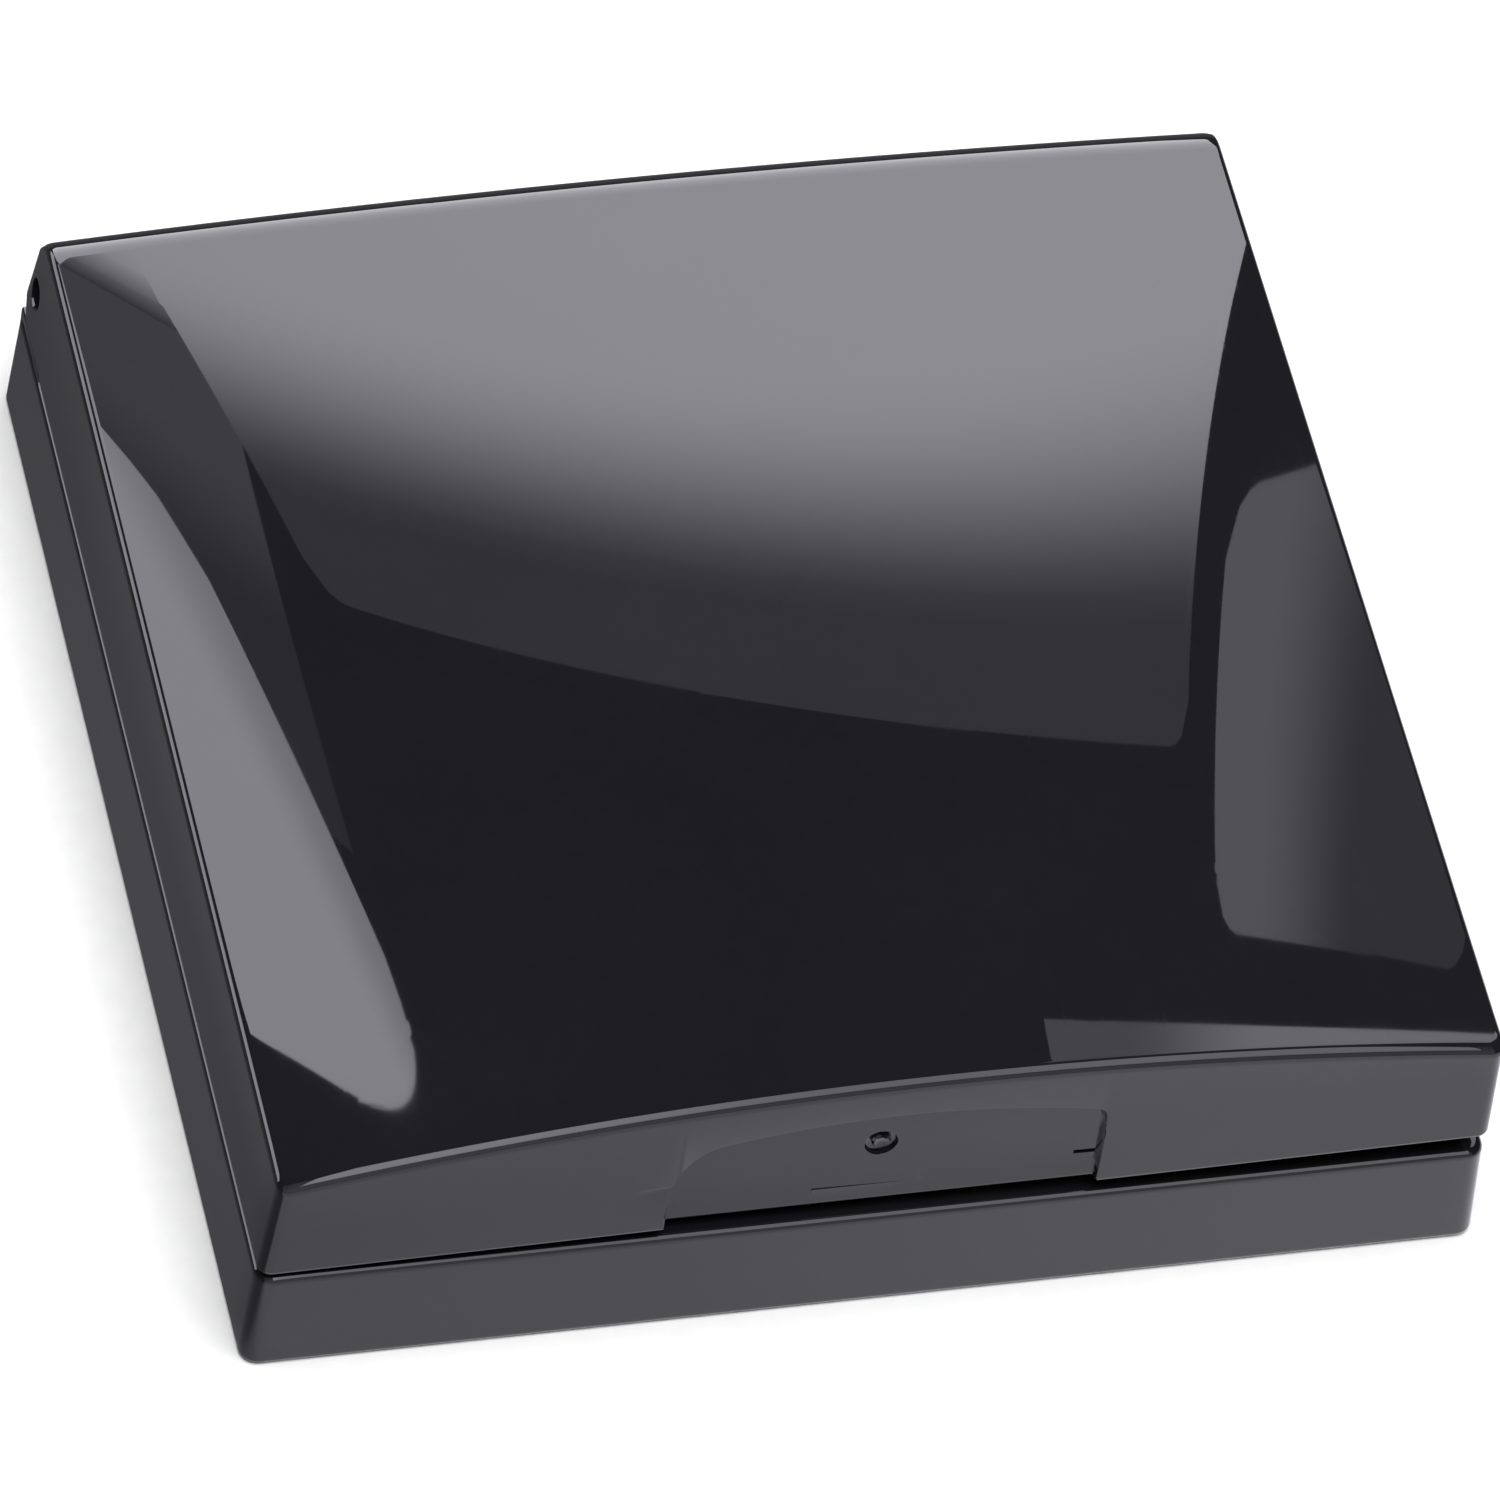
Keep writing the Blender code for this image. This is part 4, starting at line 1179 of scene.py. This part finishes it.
def silvered_glass():
    look = Look("silvered_glass", Metallic=1.0)
    smear = look.noise(70, 4, 0.6, look.stretched((1, 2.4, 1), 0.5))
    speck = look.noise(2400, 2, 0.5)
    look.colour(smear, ((0.3, (0.86, 0.88, 0.88)), (0.7, (0.90, 0.91, 0.91))))
    smears = look.remap(smear, 0.45, 0.75, 0.005, 0.035)
    specks = look.remap(speck, 0.7, 0.78, 0.0, 0.12)
    look.roughness(look.math("ADD", smears, specks))
    look.bump(smear, 0.0000008, 0.3)
    return look.material


def foam_tape():
    look = Look("foam_tape", Roughness=0.85)
    cells = look.node("ShaderNodeTexVoronoi", Scale=3000.0)
    look.link(look.coords, cells.inputs["Vector"])
    look.colour(cells.outputs["Distance"], ((0.1, (0.78, 0.77, 0.72)), (0.8, (0.62, 0.61, 0.57))))
    look.roughness(look.remap(cells.outputs["Distance"], 0, 1, 0.7, 0.95))
    look.bump(cells.outputs["Distance"], 0.00004, 0.5)
    return look.material


def paper():
    look = Look("paper", Roughness=0.6)
    fibre = look.noise(1800, 5, 0.75, look.stretched((1, 3, 1)))
    stain = look.noise(60, 3, 0.5)
    both = look.math("ADD", look.math("MULTIPLY", fibre, 0.5), look.math("MULTIPLY", stain, 0.5))
    look.colour(both, ((0.3, (0.72, 0.71, 0.67)), (0.7, (0.83, 0.82, 0.79))))
    look.roughness(look.remap(fibre, 0.3, 0.7, 0.5, 0.72))
    look.bump(fibre, 0.00001, 0.5)
    return look.material


MATERIALS.update(
    velour=velour(), ribbon=ribbon_satin(), powder=pressed_tint(), aluminium=drawn_aluminium(),
    film=film_plastic(), mirror=silvered_glass(), tape=foam_tape(), paper=paper(),
)

dress(inner_tray(), "base", "satin", "satin_black", "inner_tray")
dress(pan_glue(), "base", "tape", "adhesive", "pan_glue")
dress(powder_pan(), "base", "aluminium", "aluminium", "powder_pan")
dress(pressed_powder(), "base", "powder", "powder", "pressed_powder")
dress(clear_film(), "base", "film", "clear_sheet", "clear_film")
puff = dress(puff_pad(), "base", "velour", "velour", "puff_pad")
ribbon = dress(puff_ribbon(), "base", "ribbon", "ribbon", "puff_ribbon")
dress(base_label(), "base", "paper", "label_paper", "base_label")
dress(lid_liner(), "lid", "satin", "satin_black", "lid_liner")
dress(mirror_glass(), "lid", "mirror", "silvered_glass", "mirror")
dress(mirror_tape(), "lid", "tape", "adhesive", "mirror_tape")
dress(lid_shell(), "lid", "gloss", "gloss_black", "lid_shell")
dress(base_shell(), "base", "gloss", "gloss_black", "base_shell")
for word, side in (("left", -1), ("right", 1)):
    pin = rod("pin_" + word, [(side * x, r) for x, r in PIN_STATIONS])
    dress(pin, "base", "steel", "steel", "hinge_pin_" + word)


# Camera, lights and floor

AZIMUTH, ELEVATION, ROLL = radians(-20.64), radians(50.07), radians(10.53)
DISTANCE = 0.8218
LENS = 339.7
TARGET = Vector((-0.00004, -0.00236, 0.008))
COOLNESS = 1.085


def add_camera():
    back = Vector((sin(AZIMUTH) * cos(ELEVATION), -cos(AZIMUTH) * cos(ELEVATION), sin(ELEVATION)))
    right = Vector((0, 0, 1)).cross(back).normalized()
    up = back.cross(right)
    axes = (cos(ROLL) * right + sin(ROLL) * up, cos(ROLL) * up - sin(ROLL) * right, back)
    data = bpy.data.cameras.new("camera")
    data.sensor_width = 36
    data.lens = LENS
    data.clip_start = 0.01
    camera = bpy.data.objects.new("camera", data)
    turn = Matrix(axes).transposed().to_4x4()
    camera.matrix_world = Matrix.Translation(TARGET + back * DISTANCE) @ turn
    bpy.context.scene.collection.objects.link(camera)
    bpy.context.scene.camera = camera


def glow_material(name):
    """Light whose strength is painted on the vertices."""
    material = bpy.data.materials.new(name)
    material.use_nodes = True
    tree = material.node_tree
    tree.nodes.clear()
    glow = tree.nodes.new("ShaderNodeEmission")
    paint = tree.nodes.new("ShaderNodeAttribute")
    paint.attribute_name = "glow"
    out = tree.nodes.new("ShaderNodeOutputMaterial")
    tree.links.new(paint.outputs["Color"], glow.inputs["Color"])
    tree.links.new(glow.outputs[0], out.inputs["Surface"])
    return material


def glowing(name, mesh, grid, levels):
    """Makes a grid of vertices glow, each at its own level, and lets only reflections see it."""
    skin(mesh, grid)
    data = bpy.data.meshes.new(name)
    mesh.to_mesh(data)
    mesh.free()
    data.transform(Matrix.Scale(MM, 4))
    paint = data.color_attributes.new("glow", "FLOAT_COLOR", "POINT")
    for item, value in zip(paint.data, levels):
        item.color = (value, value, value * COOLNESS, 1)
    data.materials.append(glow_material(name))
    obj = bpy.data.objects.new(name, data)
    bpy.context.scene.collection.objects.link(obj)
    obj.visible_camera = False
    obj.visible_diffuse = False
    obj.visible_transmission = False
    obj.visible_shadow = False


def soft_box(name, place, edge, size, level, turn=0, corner=0, steps=40):
    """A glowing rectangle. edge is the middle of its top edge, size its width and depth.

    place turns (u, v) in millimetres into a point. level gives the strength at s across from the
    middle and t below the top edge. turn tilts the box, and corner rounds its corners.
    """
    half, middle = size[0] / 2, size[1] / 2
    tilt = radians(turn)
    mesh = bmesh.new()
    grid, levels = [], []
    for i in range(steps + 1):
        s = mix(-half, half, i / steps)
        cut = max(0.0, abs(s) - (half - corner))
        reach = middle - corner + sqrt(max(0.0, corner**2 - cut**2))
        column = []
        for j in range(steps + 1):
            t = middle + mix(-reach, reach, j / steps)
            u = edge[0] + s * cos(tilt) + t * sin(tilt)
            v = edge[1] + s * sin(tilt) - t * cos(tilt)
            column.append(mesh.verts.new(place(u, v)))
            levels.append(float(level(s, t)))
        grid.append(column)
    glowing(name, mesh, grid, levels)


def facing(azimuth, elevation, distance):
    """A plane that faces the compact: u runs right and v up, as seen from the compact."""
    a, e = radians(azimuth), radians(elevation)
    out = Vector((sin(a) * cos(e), cos(a) * cos(e), sin(e)))
    across = Vector((cos(a), -sin(a), 0))
    up = across.cross(out)
    centre = Vector((0, 0, 16)) + out * distance
    return lambda u, v: centre + across * u + up * v


def fade(start, end, low, high, sideways=False):
    """A level that goes from start to end between two places, down the box or across it."""
    return lambda s, t: mix(start, end, smooth(low, high, s if sideways else t))


def add_soft_boxes():
    """The plain soft boxes and dim screens that the glossy shell mirrors."""
    over = facing(17.0, 48.5, 250)
    behind = facing(17.0, 48.5, 251.5)
    front = facing(180, 50, 330)

    def front_level(s, t):
        return mix(2.6, 4.2, smooth(12, 112, s)) * smooth(330, 270, t)

    def screen_level(s, t):
        return 0.52 + 0.30 * smooth(200, 720, t) - 0.22 * smooth(0, 600, abs(s - 120))

    back_level = fade(0.45, 5.15, 8, 26)
    corner_level = fade(0.42, 5.15, 0, 5)
    dim_level = fade(0.28, 0.78, 18, 34)
    left_level = fade(4.75, 3.3, 33.3, 40.3, sideways=True)
    right_level = fade(1.5, 0.4, -18, 2, sideways=True)
    rim_level = fade(1.0, 2.6, -50, -20, sideways=True)
    soft_box("back_box", over, (5, 1.5), (127, 240), back_level, turn=-11.2, corner=3, steps=120)
    soft_box("corner_box", behind, (-104, -5), (92, 235), corner_level, steps=120)
    soft_box("left_box", over, (-110, 63.8), (80.6, 60), left_level, turn=-1.5, corner=16, steps=80)
    soft_box("dim_box", facing(17.0, 48.5, 253), (-90, 33), (44, 46), dim_level, turn=14, steps=60)
    soft_box("right_box", over, (99, -5), (50, 28), right_level, turn=-12, corner=4)
    soft_box("rim_box", behind, (134.4, 104.5), (130, 110), rim_level, turn=-15.5)
    soft_box("left_edge_box", facing(-52, 14, 260), (0, 70), (220, 115), lambda s, t: 4.2, steps=10)
    soft_box("front_box", front, (-72.5, 200), (295, 330), front_level)
    soft_box("front_screen", facing(180, 25, 700), (0, 620), (1400, 920), screen_level)


def add_light(name, location, size, power):
    """A rectangular lamp aimed at the compact, which reflections don't see."""
    data = bpy.data.lights.new(name, "AREA")
    data.shape = "RECTANGLE"
    data.size, data.size_y = size
    data.energy = power
    light = bpy.data.objects.new(name, data)
    light.location = location
    away = Vector(location) - Vector((0, 0, 0.01))
    light.rotation_euler = away.to_track_quat("Z", "Y").to_euler()
    light.visible_glossy = False
    light.visible_camera = False
    bpy.context.scene.collection.objects.link(light)


def add_floor():
    size = 3000
    mesh = bmesh.new()
    signs = ((-1, -1), (1, -1), (1, 1), (-1, 1))
    mesh.faces.new([mesh.verts.new((x * size, y * size, 0)) for x, y in signs])
    floor = mesh_object("floor", mesh)
    look = Look("floor", Base_Color=(0.86, 0.86, 0.86, 1), Roughness=0.9)
    grain = look.noise(700, 3)
    look.colour(grain, ((0.3, (0.85, 0.85, 0.85)), (0.7, (0.88, 0.88, 0.88))))
    floor.data.materials.append(look.material)
    floor.visible_glossy = False


def floor_glow(x, y):
    """Glow of the painted floor reflection that the walls mirror: pale in front, with painted shade to the
    left and behind, where the table would lie in shadow.
    """
    front = smooth(-3, 3, x - y)
    # painted shade: the table to the left and behind glows dimly, as if it lay in the compact's shadow
    left = 0.19 - 0.04 * smooth(0, 60, abs(y + 4))
    return mix(left, mix(1.08, 1.45, smooth(-36, 45, x)), front)


def add_painted_floor_reflection():
    """A glowing sheet just under the visible table, which only reflections see: a painted reflection of the
    table, with painted shade, for the walls to mirror.
    """
    spans = ((-900, -120, 14), (-100, 100, 101), (120, 900, 14))
    line = [value for span in spans for value in np.linspace(*span)]
    mesh = bmesh.new()
    grid = [[mesh.verts.new((x, y, -0.02)) for y in line] for x in line]
    glowing("painted_floor_reflection", mesh, grid, [float(floor_glow(x, y)) for x in line for y in line])


def add_world():
    world = bpy.data.worlds.new("world")
    world.use_nodes = True
    background = world.node_tree.nodes["Background"]
    background.inputs["Color"].default_value = (1, 1, 1, 1)
    background.inputs["Strength"].default_value = 0.05
    bpy.context.scene.world = world


bpy.context.scene.view_settings.view_transform = "Standard"
add_world()
add_floor()
add_painted_floor_reflection()
add_soft_boxes()
add_light("overhead", (0.05, -0.1, 0.9), (0.9, 0.9), 16)
add_camera()
